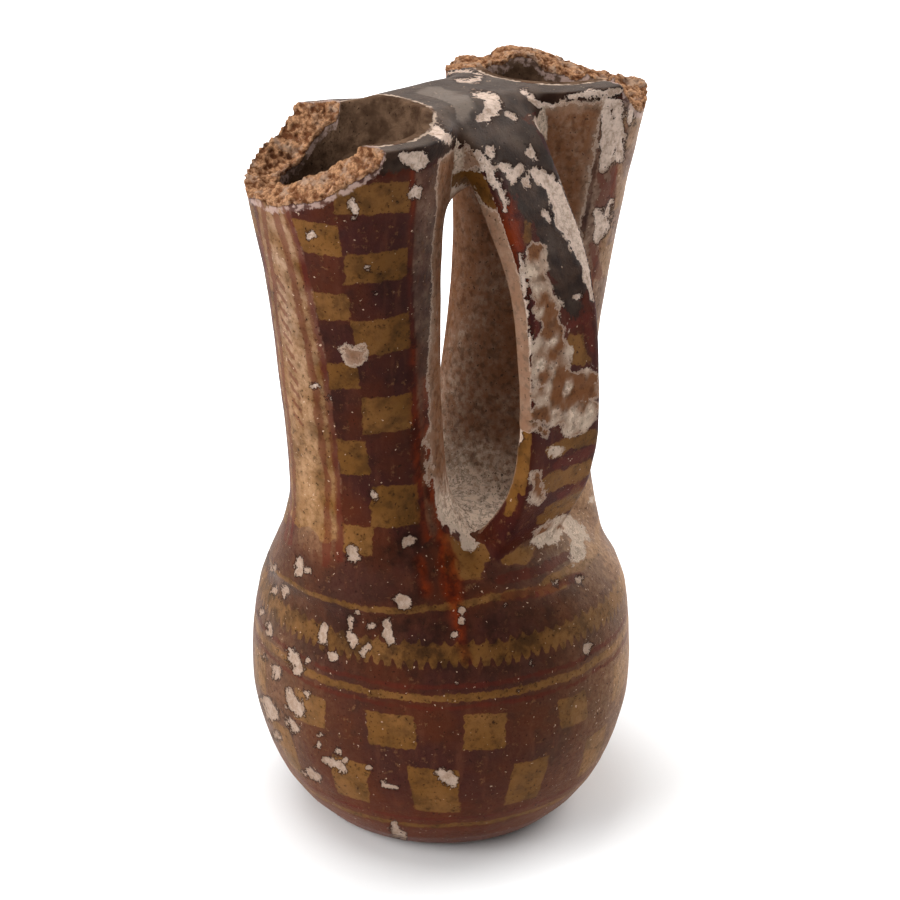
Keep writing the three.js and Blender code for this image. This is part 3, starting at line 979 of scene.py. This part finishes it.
STRAP_BARE = [
    [(536, 250, 10), (538, 275, 9), (542, 290, 9), (545, 304, 12), (551, 326, 12), (554, 348, 15),
     (550, 363, 19)],
    [(545, 372, 14), (570, 382, 12), (592, 378, 8)], [(532, 395, 6), (560, 395, 16), (590, 390, 12)],
    [(535, 415, 8), (560, 412, 14), (590, 408, 10)], [(575, 425, 12), (590, 415, 6)],
    [(535, 425, 5), (545, 432, 4)], [(537, 476, 5), (538, 497, 7)], [(553, 452, 4), (561, 450, 3)],
]
STRAP_BLACK = [
    [(470, 110, 40), (520, 150, 28), (540, 190, 24), (555, 230, 24), (566, 262, 20), (570, 290, 16),
     (575, 312, 6)],
]
STRAP_OCHRE = [
    [(529, 220, 4), (527, 240, 5)], [(574, 342, 9), (579, 358, 9)],
    [(520, 425, 6), (518, 460, 7), (514, 490, 6), (508, 513, 5)],
    [(552, 452, 6), (572, 444, 7), (594, 436, 8)], [(546, 484, 9), (568, 476, 9), (590, 466, 8)],
    [(551, 512, 6), (568, 503, 7), (582, 490, 6)], [(541, 520, 5), (552, 516, 4)],
]
STRAP_RED = [
    [(535, 300, 3), (538, 330, 3), (534, 360, 3)], [(563, 330, 3), (590, 316, 4)],
    [(588, 320, 5), (592, 350, 3)],
    [(556, 466, 4), (580, 456, 6), (594, 448, 4)], [(560, 496, 4), (585, 484, 4)],
]
STRAP_AMBER = [
    [(506, 200, 6), (512, 225, 10), (519, 250, 8), (524, 268, 5)], [(517, 262, 4), (524, 300, 3)],
]
DECK_DUST_AND_SHEEN = [(412, 100, 8), (436, 103, 16), (462, 107, 12)]
ARCH_OCHRE = [(445, 184, 6), (462, 176, 7), (478, 180, 10), (488, 194, 8), (494, 206, 5)]
LIP_HEIGHTS = (167.6, 170.6)  # how low the black comes on the left and on the right neck
DECK_SLOPE = 0.25  # where the surface leans more than this, it belongs to the arch below
DEEP, ARCH_DEEP = 3.0, 2.0  # how far inside its field a whole surface counts
SIDE_TURN = 0.6
STRAP_PALE_SHARE = 0.38  # above this share of its path the strap's edges are bare clay
STRAP_FOOT_SHARE = 0.27  # below this the strap spreads into its foot
DARK_CLAY = 0.2
STRAP_CORE = -9
STRAP_BACK_TURN = 0.35
ARCH_LOW = 135
add(loss, DECK_CHIPS, on_web | on_left | on_right)
add(loss, STRAP_CHIPS, on_strap | on_web)
add(bare, STRAP_BARE, on_strap)
add(black, STRAP_BLACK, on_strap | on_web)
add(ochre, STRAP_OCHRE, on_strap)
add(red, STRAP_RED, on_strap)
add(amber, STRAP_AMBER, on_strap)
deck_top = on_web & (normals[:, 2] > DECK_SLOPE)
black = np.where(deck_top, DEEP, black)
# Upward faces of the deck, the strap and the black lips are painted lighter: a painted sheen of the
# overhead light.
upward_sheen = np.clip(0.3 * normals[:, 2] - 0.12 + 0.06 * patchy, 0, 0.2)
worn_and_lit = np.where(deck_top | on_strap, upward_sheen, worn_and_lit)
# The grey patch on the deck near the left mouth is dust together with a painted reflection of the overhead
# light.
dust_and_sheen = stroke(DECK_DUST_AND_SHEEN, on_web | on_left | on_strap)
worn_and_lit = np.maximum(worn_and_lit, np.clip(dust_and_sheen / 3 + 0.3, 0, 0.45))
lip = np.where(on_left | on_right, height - np.where(on_left, *LIP_HEIGHTS) + sway + fray, FAR)
lip = np.where(broken > -1.5, np.minimum(lip, -1 - broken), lip)
black = np.maximum(black, lip)
worn_and_lit = np.where(lip > -1, upward_sheen, worn_and_lit)
bare = np.minimum(bare, np.where(lip > -3, -lip, bare))
under_web = on_web & (normals[:, 2] <= DECK_SLOPE)
bare = np.where(under_web, ARCH_DEEP, bare)
# The web's underside is painted darker where it faces down: painted shade under the arch.
pale_tone_and_shade = np.where(under_web, np.clip(1.15 - 1.75 * np.maximum(0, -normals[:, 2]), 0.1, 1.15), pale_tone_and_shade)
strap_side = on_strap & (abs(normals[:, 0]) > SIDE_TURN) & (strap_share > STRAP_FOOT_SHARE)
edge_field = (abs(normals[:, 0]) - 0.75) * 5
pale_side = strap_side & (strap_share > STRAP_PALE_SHARE)
bare = np.where(pale_side, np.maximum(bare, edge_field + 0.3 * patchy), bare)
ochre = np.where(strap_side & ~pale_side, np.maximum(ochre, edge_field + 1), ochre)
black = np.where(pale_side, np.minimum(black, -edge_field), black)
strap_inside = on_strap & (strap_gap > STRAP_CORE) & (normals[:, 1] > STRAP_BACK_TURN)
bare = np.where(strap_inside, np.maximum(bare, (normals[:, 1] - STRAP_BACK_TURN) * 10), bare)
strap_pale = np.clip(0.14 + 1.1 * patchy + 1.0 * fray, 0.05, 0.9)
pale_tone_and_shade = np.where(on_strap, np.where(pale_side | strap_inside, DARK_CLAY, strap_pale), pale_tone_and_shade)
grime = np.where(on_strap, 0.15 + 0.4 * np.clip(cloudy, 0, 1), grime)
under_arch = (on_web | on_strap) & (places[:, 1] < 0) & (height > ARCH_LOW) & (normals[:, 2] < 0.3)
arch_ochre = stroke(ARCH_OCHRE, under_arch)
ochre = np.maximum(ochre, arch_ochre)
bare = np.where(arch_ochre > -1, np.minimum(bare, -arch_ochre), bare)
grime = np.where(arch_ochre > 0, 0.4, grime)

# Paint runs and bare places on the shoulder, and chips down to the white ground below the slip.
SADDLE = [
    [(438, 440, 14), (455, 478, 26), (474, 500, 22), (490, 512, 14)],
    [(460, 505, 20), (468, 522, 18), (468, 535, 13), (470, 545, 5)], [(482, 520, 14), (487, 534, 8)],
    [(500, 490, 10), (492, 520, 7)], [(440, 490, 8), (452, 512, 8)],
]
STRAP_FOOT_BARE = [
    [(541, 538, 9), (556, 530, 10)], [(568, 522, 7), (578, 536, 9), (577, 556, 8)], [(592, 500, 3)],
]
SHOULDER_OCHRE = [
    [(445, 538, 5), (456, 550, 13), (474, 553, 15), (490, 544, 9)], [(457, 566, 11), (473, 568, 11)],
    [(508, 560, 7), (524, 556, 8)], [(520, 552, 4), (532, 549, 3)],
    [(545, 580, 2), (572, 566, 3), (592, 548, 4)], [(540, 594, 2), (565, 586, 3)],
]
SHOULDER_RED = [
    [(500, 580, 5), (540, 570, 6), (575, 552, 5)], [(505, 597, 5), (548, 590, 5), (580, 575, 4)],
]
SHOULDER_AMBER = [
    [(436, 500, 5), (442, 530, 7), (447, 556, 9), (451, 585, 9), (455, 608, 7), (462, 640, 5),
     (467, 660, 5)],
    [(425, 380, 3), (427, 440, 4), (432, 500, 6)], [(420, 560, 5), (425, 590, 6)],
]
SHOULDER_STAINS = [
    [(376, 562, 9), (392, 555, 14), (415, 550, 18), (425, 568, 12)],
    [(424, 478, 5), (434, 508, 9), (452, 522, 6)],
]
BODY_CHIPS = [
    [(404, 602, 8)], [(386, 622, 3), (388, 633, 6), (392, 642, 3)], [(323, 628, 4), (322, 638, 5)],
    [(351, 620, 3), (350, 627, 2)], [(349, 634, 3), (353, 640, 5)], [(371, 626, 3)], [(357, 612, 2)],
    [(368, 645, 2), (363, 653, 3)], [(333, 657, 5)], [(289, 650, 3), (294, 658, 6), (298, 666, 3)],
    [(307, 660, 2.5)], [(298, 671, 5)], [(276, 669, 3), (276, 676, 3)], [(299, 560, 3), (298, 572, 5)],
    [(306, 571, 3)], [(285, 590, 4), (283, 597, 2)], [(273, 568, 3)], [(274, 590, 2.5)], [(261, 612, 2.5)],
    [(269, 625, 3), (270, 634, 2)], [(352, 549, 3), (354, 556, 5)], [(410, 541, 4), (405, 544, 3)],
    [(374, 495, 4)], [(288, 690, 2), (293, 704, 6), (299, 713, 4)], [(307, 694, 3)],
    [(266, 700, 4), (272, 715, 6)],
    [(440, 774, 5), (452, 781, 6)], [(319, 745, 3)], [(338, 752, 3)], [(308, 771, 4), (317, 779, 3)],
    [(326, 760, 3), (342, 768, 4)], [(296, 730, 3), (290, 722, 4)], [(275, 735, 3)], [(345, 760, 3)],
    [(393, 824, 3), (397, 833, 4), (404, 837, 3)], [(588, 646, 3.5), (587, 651, 3)], [(461, 610, 4)],
    [(462, 620, 3)], [(455, 635, 4)], [(580, 579, 3)], [(518, 690, 1.5)], [(368, 768, 2.5)],
    [(383, 785, 2), (396, 788, 2)], [(456, 684, 2.5)], [(505, 606, 2)], [(265, 657, 1.5)],
    [(279, 738, 2)], [(321, 735, 2)], [(532, 663, 1.5)], [(556, 582, 2.5)], [(260, 700, 2)],
]
NECK_CHIPS = [
    [(402, 155, 4)], [(352, 203, 2.5), (355, 212, 3)], [(417, 192, 6)], [(311, 234, 3), (309, 238, 2)],
    [(406, 158, 6), (420, 162, 9)], [(330, 398, 1.5)], [(315, 386, 2.5)], [(365, 160, 4), (378, 158, 4)],
    [(367, 268, 1.2)], [(375, 292, 1)], [(352, 218, 1)],
]
NECK_GREY_CHIPS = [[(353, 356, 10), (346, 350, 5)], [(361, 349, 4)]]
RIGHT_NECK_CHIPS = [
    [(522, 90, 2), (532, 98, 3), (541, 106, 3)],
    [(539, 103, 3), (552, 107, 4), (570, 106, 4), (598, 110, 4)],
    [(570, 97, 3), (590, 93, 4), (620, 92, 3)],
    [(606, 112, 7), (611, 130, 10), (610, 150, 9), (603, 168, 4)],
    [(618, 112, 6), (619, 135, 6), (620, 158, 4)], [(634, 105, 4), (630, 122, 3)],
    [(606, 102, 5), (618, 104, 5)],
    [(598, 214, 4), (603, 225, 7), (598, 238, 4)], [(612, 200, 2), (607, 215, 3)],
]
RIGHT_NECK_RED = [
    [(600, 175, 4), (606, 190, 6), (600, 210, 5)], [(614, 170, 4), (612, 205, 4)],
    [(592, 245, 3), (598, 275, 5)],
]
RIGHT_NECK_OCHRE = [
    [(628, 118, 6), (624, 145, 5)], [(607, 232, 4), (602, 250, 4)], [(620, 165, 3), (618, 200, 3)],
]
SADDLE_REACH, SADDLE_WIDTH, SADDLE_LOW = 13 * MM, 17 * MM, 74
on_front = on_body | on_left | on_right
add(bare, SADDLE, on_front)
add(bare, STRAP_FOOT_BARE, on_body | on_strap | on_right)
for rows in SHOULDER_OCHRE:
    patch = stroke(rows, on_front)
    ochre = np.maximum(ochre, patch)
    grime = np.where(patch > -0.5, 0.05, grime)
add(red, SHOULDER_RED, on_front)
add(amber, SHOULDER_AMBER, on_front)
for rows in SHOULDER_STAINS:
    grime = np.maximum(grime, np.clip(stroke(rows, on_front) / 3 + 0.5, 0, 0.95))
add(loss, BODY_CHIPS, on_front)
add(loss, NECK_CHIPS, on_left)
add(bare, NECK_GREY_CHIPS, on_left)
add(red, RIGHT_NECK_RED, on_right)
add(ochre, RIGHT_NECK_OCHRE, on_right)
add(loss, RIGHT_NECK_CHIPS, on_right | on_web)
saddle_top = on_body & (abs(places[:, 0]) < SADDLE_REACH) & (abs(places[:, 1]) < SADDLE_WIDTH)
bare = np.where(saddle_top & (height > SADDLE_LOW), DEEP, bare)

# Chips on the sides that the photograph doesn't show, sown at random.
HIDDEN_CHIPS = 160
SEED = 11
LEAST_CHIP, CHIP_SPREAD, CHIP_CURVE = 0.3, 2.4, 4  # most chips are small
CHIPS_LOW = 3
chance = np.random.default_rng(SEED)
hidden = np.flatnonzero(outside_skin & (facing < 0.05) & (broken < -2) & (height > CHIPS_LOW))
for spot in chance.choice(hidden, HIDDEN_CHIPS, replace=False):
    size = LEAST_CHIP + CHIP_SPREAD * chance.random() ** CHIP_CURVE
    near = np.flatnonzero(np.abs(places - places[spot]).max(axis=1) < 2 * size * MM)
    gap = np.linalg.norm(places[near] - places[spot], axis=1) / MM
    loss[near] = np.maximum(loss[near], size - gap)

# Relief. Chips and bare flakes lie lower than the paint, and the breaks are pitted where straw
# has burnt out of the clay.
CHIP_DEPTH = 0.28 * MM
PIT_GRAIN = 1.2 * MM
PIT_DEPTH = 0.7 * MM
PIT_KINDS = [(PIT_GRAIN, 7, 1.4), (PIT_GRAIN / 2, 9, 1.1)]  # grain, seed and strength
GRIT_SHARE = 0.35  # how high the grit stands on a break, to the depth of its pits
pits = np.zeros(len(places))
rough = np.flatnonzero(broken > -0.5)
pitting = sum(lumps(places[rough], grain, seed) * strength for grain, seed, strength in PIT_KINDS)
pits[rough] = np.clip(pitting, -1, 1)
on_break = np.clip(broken + 0.5, 0, 1)
sunk = CHIP_DEPTH * np.clip(loss * 1.5 + 0.5, 0, 1)
sunk += PIT_DEPTH * on_break * np.maximum(0, -pits)
sunk -= GRIT_SHARE * PIT_DEPTH * on_break * np.maximum(0, pits)
places -= normals * sunk[:, None]
clay.data.vertices.foreach_set("co", places.ravel())
clay.data.update()

FIELDS = {
    "ochre": ochre, "black": black, "amber": amber, "red": red, "loss": loss, "bare": bare,
    "broken": broken, "inside": inside, "pits": pits, "worn_and_lit": worn_and_lit, "grime": grime, "pale_tone_and_shade": pale_tone_and_shade,
}
for field_name, values in FIELDS.items():
    attribute = clay.data.attributes.new(field_name, "FLOAT", "POINT")
    attribute.data.foreach_set("value", values.astype(np.float32))


# The finish of the whole pot: earthenware under burnished slips, aged and resin stained. Yellow
# and red were painted on the maroon, soot and varnish darken it, and flakes show the white ground.
BRUSH_STRETCH = (1, 1, 0.2)
SHEEN = 0.03
BUMP_STRENGTH = 0.8


def linear(code):
    """A colour as the shader wants it, from the code of the colour that is seen."""
    parts = [int(code[i:i + 2], 16) / 255 for i in (1, 3, 5)]
    return [c / 12.92 if c <= 0.04045 else ((c + 0.055) / 1.055) ** 2.4 for c in parts] + [1]


def ware(name):
    make = Shading(bpy.data.materials.new(name))
    coat = make.nodes["Principled BSDF"].inputs
    fine, small, broad = make.grain(0.45, 4), make.grain(1.6, 4), make.grain(13, 3)
    middling = make.grain(4, 5, rough=0.6)
    ragged = make.grain(1.5, 7, rough=0.72)
    gritty = make.grain(0.7, 6, rough=0.7)
    brush = make.drawn_out(2.2, 4, BRUSH_STRETCH)
    speck = make.ramp(make.grain(0.75, 2), 0.66, 0.71)
    wear_and_light, dirt = make.field("worn_and_lit"), make.field("grime")
    split = make.nodes.new("ShaderNodeSeparateXYZ")
    make.links.new(make.place, split.inputs[0])
    rise = split.outputs["Z"]
    bent_ochre = make.bent("ochre", ragged, 2.6)
    bent_loss = make.bent("loss", ragged, 4.4)
    bent_bare = make.bent("bare", ragged, 4.5)
    bent_broken = make.bent("broken", ragged, 2.0)
    is_ochre, is_loss = make.within(bent_ochre, 0.18), make.within(bent_loss, 0.1)
    is_bare, is_broken = make.within(bent_bare, 0.15), make.within(bent_broken, 0.15)
    is_red = make.within(make.bent("red", ragged, 2.0), 0.3)
    is_black = make.within(make.bent("black", ragged, 5.0), 0.3)
    is_amber = make.within(make.bent("amber", middling, 4.0), 1.2)
    is_inside = make.within(make.bent("inside", ragged, 1.5), 0.5)

    maroon = make.mix(make.ramp(broad, 0.35, 0.65), linear("#381615"), linear("#4b1f10"))
    maroon = make.mix(make.ramp(brush, 0.5, 0.75, 0, 0.45), maroon, linear("#603424"))
    maroon = make.mix(make.ramp(middling, 0.5, 0.75, 0, 0.5), maroon, linear("#241011"))
    maroon = make.mix(make.ramp(rise, 0.004, 0.03, 0.55, 0), maroon, linear("#6e3216"))
    yellow = make.mix(make.ramp(broad, 0.35, 0.65), linear("#6c461d"), linear("#7d542b"))
    yellow = make.mix(make.ramp(middling, 0.45, 0.7, 0, 0.65), yellow, linear("#4a3014"))
    yellow = make.mix(make.ramp(ragged, 0.52, 0.68, 0, 0.7), yellow, linear("#38240f"))
    scuff = make.times(make.ramp(ragged, 0.54, 0.64), make.ramp(middling, 0.42, 0.6))
    maroon = make.mix(make.times(scuff, 0.7), maroon, linear("#80583a"))
    colour = make.mix(is_ochre, maroon, yellow)
    # Rubbed places go tan: real wear, and also the painted side light and sheen that the worn field
    # carries.
    rubbed_and_lit = make.times(wear_and_light, make.ramp(ragged, 0.3, 0.68, 0.95, 0.3))
    tan = make.mix(make.ramp(rise, 0.09, 0.15), linear("#b38c68"), linear("#bd9e86"))
    colour = make.mix(rubbed_and_lit, colour, tan)
    red_slip = make.times(is_red, make.ramp(ragged, 0.25, 0.6, 0.85, 0.5))
    colour = make.mix(red_slip, colour, linear("#5c2217"))
    varnish = make.times(dirt, make.ramp(middling, 0.35, 0.65, 0.4, 0.95))
    colour = make.mix(varnish, colour, linear("#1d0f0a"))
    resin = make.mix(make.ramp(middling, 0.35, 0.65), linear("#822f0a"), linear("#3a1006"))
    colour = make.mix(make.times(is_amber, make.ramp(broad, 0.35, 0.6, 0.35, 0.85)), colour, resin)
    soot = make.mix(make.ramp(middling, 0.4, 0.7), linear("#22140e"), linear("#3c2a20"))
    soot = make.mix(make.ramp(broad, 0.55, 0.75, 0, 0.4), soot, linear("#6b594d"))
    # Worn soot goes grey: real wear, and also the painted sheen on upward faces and on the deck.
    soot = make.mix(wear_and_light, soot, linear("#94867a"))
    colour = make.mix(is_black, colour, soot)
    colour = make.mix(make.times(speck, 0.7), colour, linear("#1f120c"))
    prick = make.ramp(make.math("ADD", make.grain(0.9, 2), make.times(wear_and_light, 0.05)), 0.72, 0.75)
    colour = make.mix(make.times(prick, 0.8), colour, linear("#c4a58c"))
    dull = make.ramp(rise, 0.08, 0.13, 1.0, 0.0)
    cream = make.mix(dull, linear("#dfc8b8"), linear("#b8a08f"))
    cream = make.mix(make.ramp(ragged, 0.42, 0.66, 0, 0.75), cream, linear("#94765f"))
    # A dark line round each chip: a painted shadow of the slip's step at its edge.
    chip_edge_shadow = make.times(make.along(bent_loss, -0.2, 0.3), 0.75)
    colour = make.mix(chip_edge_shadow, colour, linear("#25140e"))
    colour = make.mix(is_loss, colour, cream)
    # The bare clay's tone follows the paleness field, so it holds painted shade as well as the clay's own
    # mottling.
    coarse, cloud = make.ramp(ragged, 0.3, 0.7, 0.5, 1.4), make.ramp(middling, 0.35, 0.65, 1.2, 0.7)
    mottled_and_shaded = make.times(make.field("pale_tone_and_shade"), coarse, cloud)
    lime = make.mix(make.ramp(mottled_and_shaded, -0.05, 1.15), linear("#76492b"), linear("#ddc5af"))
    lime = make.mix(make.ramp(small, 0.48, 0.66, 0, 0.45), lime, linear("#3a271a"))
    crack = make.times(make.field("pale_tone_and_shade"), make.along(make.grain(3, 6, rough=0.65), 0.5, 0.02))
    lime = make.mix(make.times(crack, 0.6), lime, linear("#4a3325"))
    border = make.times(make.field("pale_tone_and_shade"), make.ramp(bent_bare, 0.2, 2.6, 0.9, 0.0))
    lime = make.mix(border, lime, linear("#c9b39f"))
    lime = make.mix(make.times(speck, 0.85), lime, linear("#2f2118"))
    colour = make.mix(make.times(make.along(bent_bare, 0, 0.35), 0.6), colour, linear("#c7ae9a"))
    colour = make.mix(is_bare, colour, lime)
    colour = make.mix(make.times(make.along(bent_bare, 0.25, 0.25), 0.5), colour, linear("#d0b8a5"))
    bore = make.mix(make.ramp(middling, 0.35, 0.65), linear("#6a5240"), linear("#443124"))
    bore = make.mix(make.times(speck, 0.8), bore, linear("#20150e"))
    colour = make.mix(is_inside, colour, bore)
    near_rim = make.times(make.ramp(rise, 0.166, 0.168), make.ramp(middling, 0.38, 0.55))
    rim_line = make.times(make.along(make.bent("inside", ragged, 2.5), 0, 0.5), near_rim)
    colour = make.mix(rim_line, colour, linear("#c8b09c"))
    shell = make.along(make.bent("broken", ragged, 4.0), -0.9, 1.1)
    colour = make.mix(make.times(shell, make.ramp(small, 0.4, 0.56, 0.1, 0.85)), colour, linear("#b0958a"))
    fracture = make.mix(make.ramp(make.field("pits"), -0.6, 0.5), linear("#7d4f34"), linear("#c9976f"))
    fracture = make.mix(make.ramp(gritty, 0.42, 0.56, 0.6, 0), fracture, linear("#54301d"))
    fracture = make.mix(make.ramp(ragged, 0.55, 0.68, 0, 0.6), fracture, linear("#cda486"))
    fracture = make.mix(make.ramp(middling, 0.52, 0.66, 0, 0.6), fracture, linear("#c4a790"))
    colour = make.mix(is_broken, colour, fracture)
    make.links.new(colour, coat["Base Color"])

    unslipped = make.math("MAXIMUM", is_loss, is_bare)
    matt = make.math("MAXIMUM", unslipped, make.math("MAXIMUM", is_broken, is_inside))
    make.links.new(make.blend(matt, make.blend(small, 0.34, 0.5), 0.9), coat["Roughness"])
    coat["Specular IOR Level"].default_value = SHEEN
    smooth_relief = make.times(fine, make.blend(matt, 0.06, 0.3))
    relief = make.math("ADD", smooth_relief, make.times(ragged, make.blend(matt, 0.2, 0.8)))
    relief = make.math("ADD", relief, make.times(is_broken, gritty, 1.5))
    relief = make.math("SUBTRACT", relief, make.times(unslipped, 0.3))
    bump = make.nodes.new("ShaderNodeBump")
    bump.inputs["Distance"].default_value = MM
    bump.inputs["Strength"].default_value = BUMP_STRENGTH
    make.links.new(relief, bump.inputs["Height"])
    make.links.new(bump.outputs["Normal"], coat["Normal"])
    return make.owner


clay.data.materials.clear()
clay.data.materials.append(ware("painted_ware"))
for polygon in clay.data.polygons:
    polygon.use_smooth = True


# Parting. The whole clay is cut into the pieces that the potter joined, each a closed solid. Every
# piece keeps the whole clay's surface normals, so that no seam shows in the burnish.
SEAT = 1.5 * MM  # how deep a piece sits in the one it is luted to
STRAP_ZONE = 3.5 * MM
WEB_ZONE = 3.0 * MM
NECK_ZONE = 5.0 * MM
COURSES = {"base_pad": 9 * MM, "lower_wall": 28 * MM, "belly_wall": 51 * MM}
SCARF_SLOPE = 5 / 7
SCARF_OUT, SCARF_IN = 20 * MM, 22 * MM
HALF_SPACE = 300 * MM
NEAR_POINTS = 4  # how many points of the whole clay a new point of a cut takes its paint from
UNCUT = 0.999
TINY = 1e-7
CUT_LEAN = 0.5

skin = normals_of(clay)
clay.data.attributes.new("skin", "FLOAT_VECTOR", "POINT").data.foreach_set("vector", skin.ravel())
kept_mark = clay.data.attributes.new("kept", "FLOAT", "POINT")
kept_mark.data.foreach_set("value", np.ones(len(skin), np.float32))
whole_places = places_of(clay)
whole_tree = kdtree.KDTree(len(whole_places))
for index, place in enumerate(whole_places):
    whole_tree.insert(place, index)
whole_tree.balance()


def copy_of(form):
    twin = form.copy()
    twin.data = form.data.copy()
    bpy.context.collection.objects.link(twin)
    return twin


def drop_slivers(piece):
    """Deletes the loose slivers that a cut leaves beside a piece, and keeps the piece itself."""
    mesh = piece.data
    here, there = values_of(mesh.edges, "vertices", 2, int).T
    label = np.arange(len(mesh.vertices))
    while (label[here] != label[there]).any():
        lower = np.minimum(label[here], label[there])
        np.minimum.at(label, here, lower)
        np.minimum.at(label, there, lower)
        label = label[label]
    bpy.ops.object.select_all(action="DESELECT")
    bpy.context.view_layer.objects.active = piece
    piece.select_set(True)
    bpy.ops.object.mode_set(mode="EDIT")
    bpy.ops.mesh.select_all(action="DESELECT")
    bpy.ops.object.mode_set(mode="OBJECT")
    mesh.vertices.foreach_set("select", label != np.bincount(label).argmax())
    bpy.ops.object.mode_set(mode="EDIT")
    bpy.ops.mesh.delete(type="VERT")
    bpy.ops.object.mode_set(mode="OBJECT")


def mend_cut_edges(piece):
    """Gives the new points of the cut edges their fields and normals, from the points about them."""
    mesh = piece.data
    kept = values_of(mesh.attributes["kept"].data, "value", 1, np.float32)
    new_points = np.flatnonzero(kept < UNCUT)
    near_rows = np.zeros((len(new_points), NEAR_POINTS), int)
    near_weights = np.zeros((len(new_points), NEAR_POINTS))
    for number, index in enumerate(new_points):
        found = whole_tree.find_n(mesh.vertices[index].co, NEAR_POINTS)
        near_rows[number] = [row for _, row, _ in found]
        near_weights[number] = [1 / (distance + TINY) for _, _, distance in found]
    near_weights /= near_weights.sum(axis=1)[:, None]
    for field_name, values in FIELDS.items():
        painted_data = mesh.attributes[field_name].data
        here = values_of(painted_data, "value", 1, np.float32)
        here[new_points] = (values[near_rows] * near_weights).sum(axis=1)
        painted_data.foreach_set("value", here)
    directions = values_of(mesh.attributes["skin"].data, "vector", 3, np.float32)
    blended = (skin[near_rows] * near_weights[:, :, None]).sum(axis=1)
    directions[new_points] = blended / np.linalg.norm(blended, axis=1)[:, None]
    corners = values_of(mesh.loops, "vertex_index", 1, int)
    corner_normals = directions[corners]
    starts = values_of(mesh.polygons, "loop_start", 1, int)
    faces = np.repeat(np.arange(len(starts)), values_of(mesh.polygons, "loop_total", 1, int))
    face_normals = values_of(mesh.polygons, "normal", 3, np.float32)[faces]
    all_new = np.bincount(faces, kept[corners] >= UNCUT) == 0
    lean = np.minimum.reduceat(abs((corner_normals * face_normals).sum(axis=1)), starts)
    flat = (all_new & (lean < CUT_LEAN))[faces]
    corner_normals[flat] = face_normals[flat]
    mesh.attributes.remove(mesh.attributes["skin"])
    mesh.attributes.remove(mesh.attributes["kept"])
    mesh.normals_split_custom_set(corner_normals)


def finish_piece(piece, node):
    piece.name = node + "_clay"
    drop_slivers(piece)
    mend_cut_edges(piece)
    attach(piece, "root")
    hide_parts(node)


def part_off(node, zone):
    """Cuts the part of the clay that lies in a zone off as a piece of its own."""
    piece = copy_of(clay)
    combine(piece, copy_of(zone), "INTERSECT")
    combine(clay, zone, "DIFFERENCE")
    finish_piece(piece, node)


strap_zone = strap_form(STRAP_ZONE)
combine(strap_zone, body_form(-SEAT), "DIFFERENCE")
combine(strap_zone, web_form(), "DIFFERENCE")
part_off("strap_handle", strap_zone)

web_zone = web_form(WEB_ZONE)
for neck in (LEFT_NECK, RIGHT_NECK):
    combine(web_zone, neck_form(neck, -SEAT, 2 * OVERRUN), "DIFFERENCE")
part_off("rim_web", web_zone)

for node, neck in (("left_neck", LEFT_NECK), ("right_neck", RIGHT_NECK)):
    neck_zone = neck_form(neck, NECK_ZONE, 2 * OVERRUN)
    combine(neck_zone, body_form(-SEAT), "DIFFERENCE")
    bpy.ops.mesh.primitive_cube_add(size=HALF_SPACE, location=(-neck["side"] * HALF_SPACE / 2, 0, 0))
    combine(neck_zone, bpy.context.object, "DIFFERENCE")
    part_off(node, neck_zone)

for node, course_top in COURSES.items():
    edge = float(body_radius(course_top))
    course_zone = stacked_form([
        (0, -SCARF_OUT, edge + SCARF_OUT, 0),
        (0, course_top - SCARF_OUT * SCARF_SLOPE, edge + SCARF_OUT, 0),
        (0, course_top + SCARF_IN * SCARF_SLOPE, edge - SCARF_IN, 0),
    ], BODY_CORNERS)
    part_off(node, course_zone)
finish_piece(clay, "shoulder")
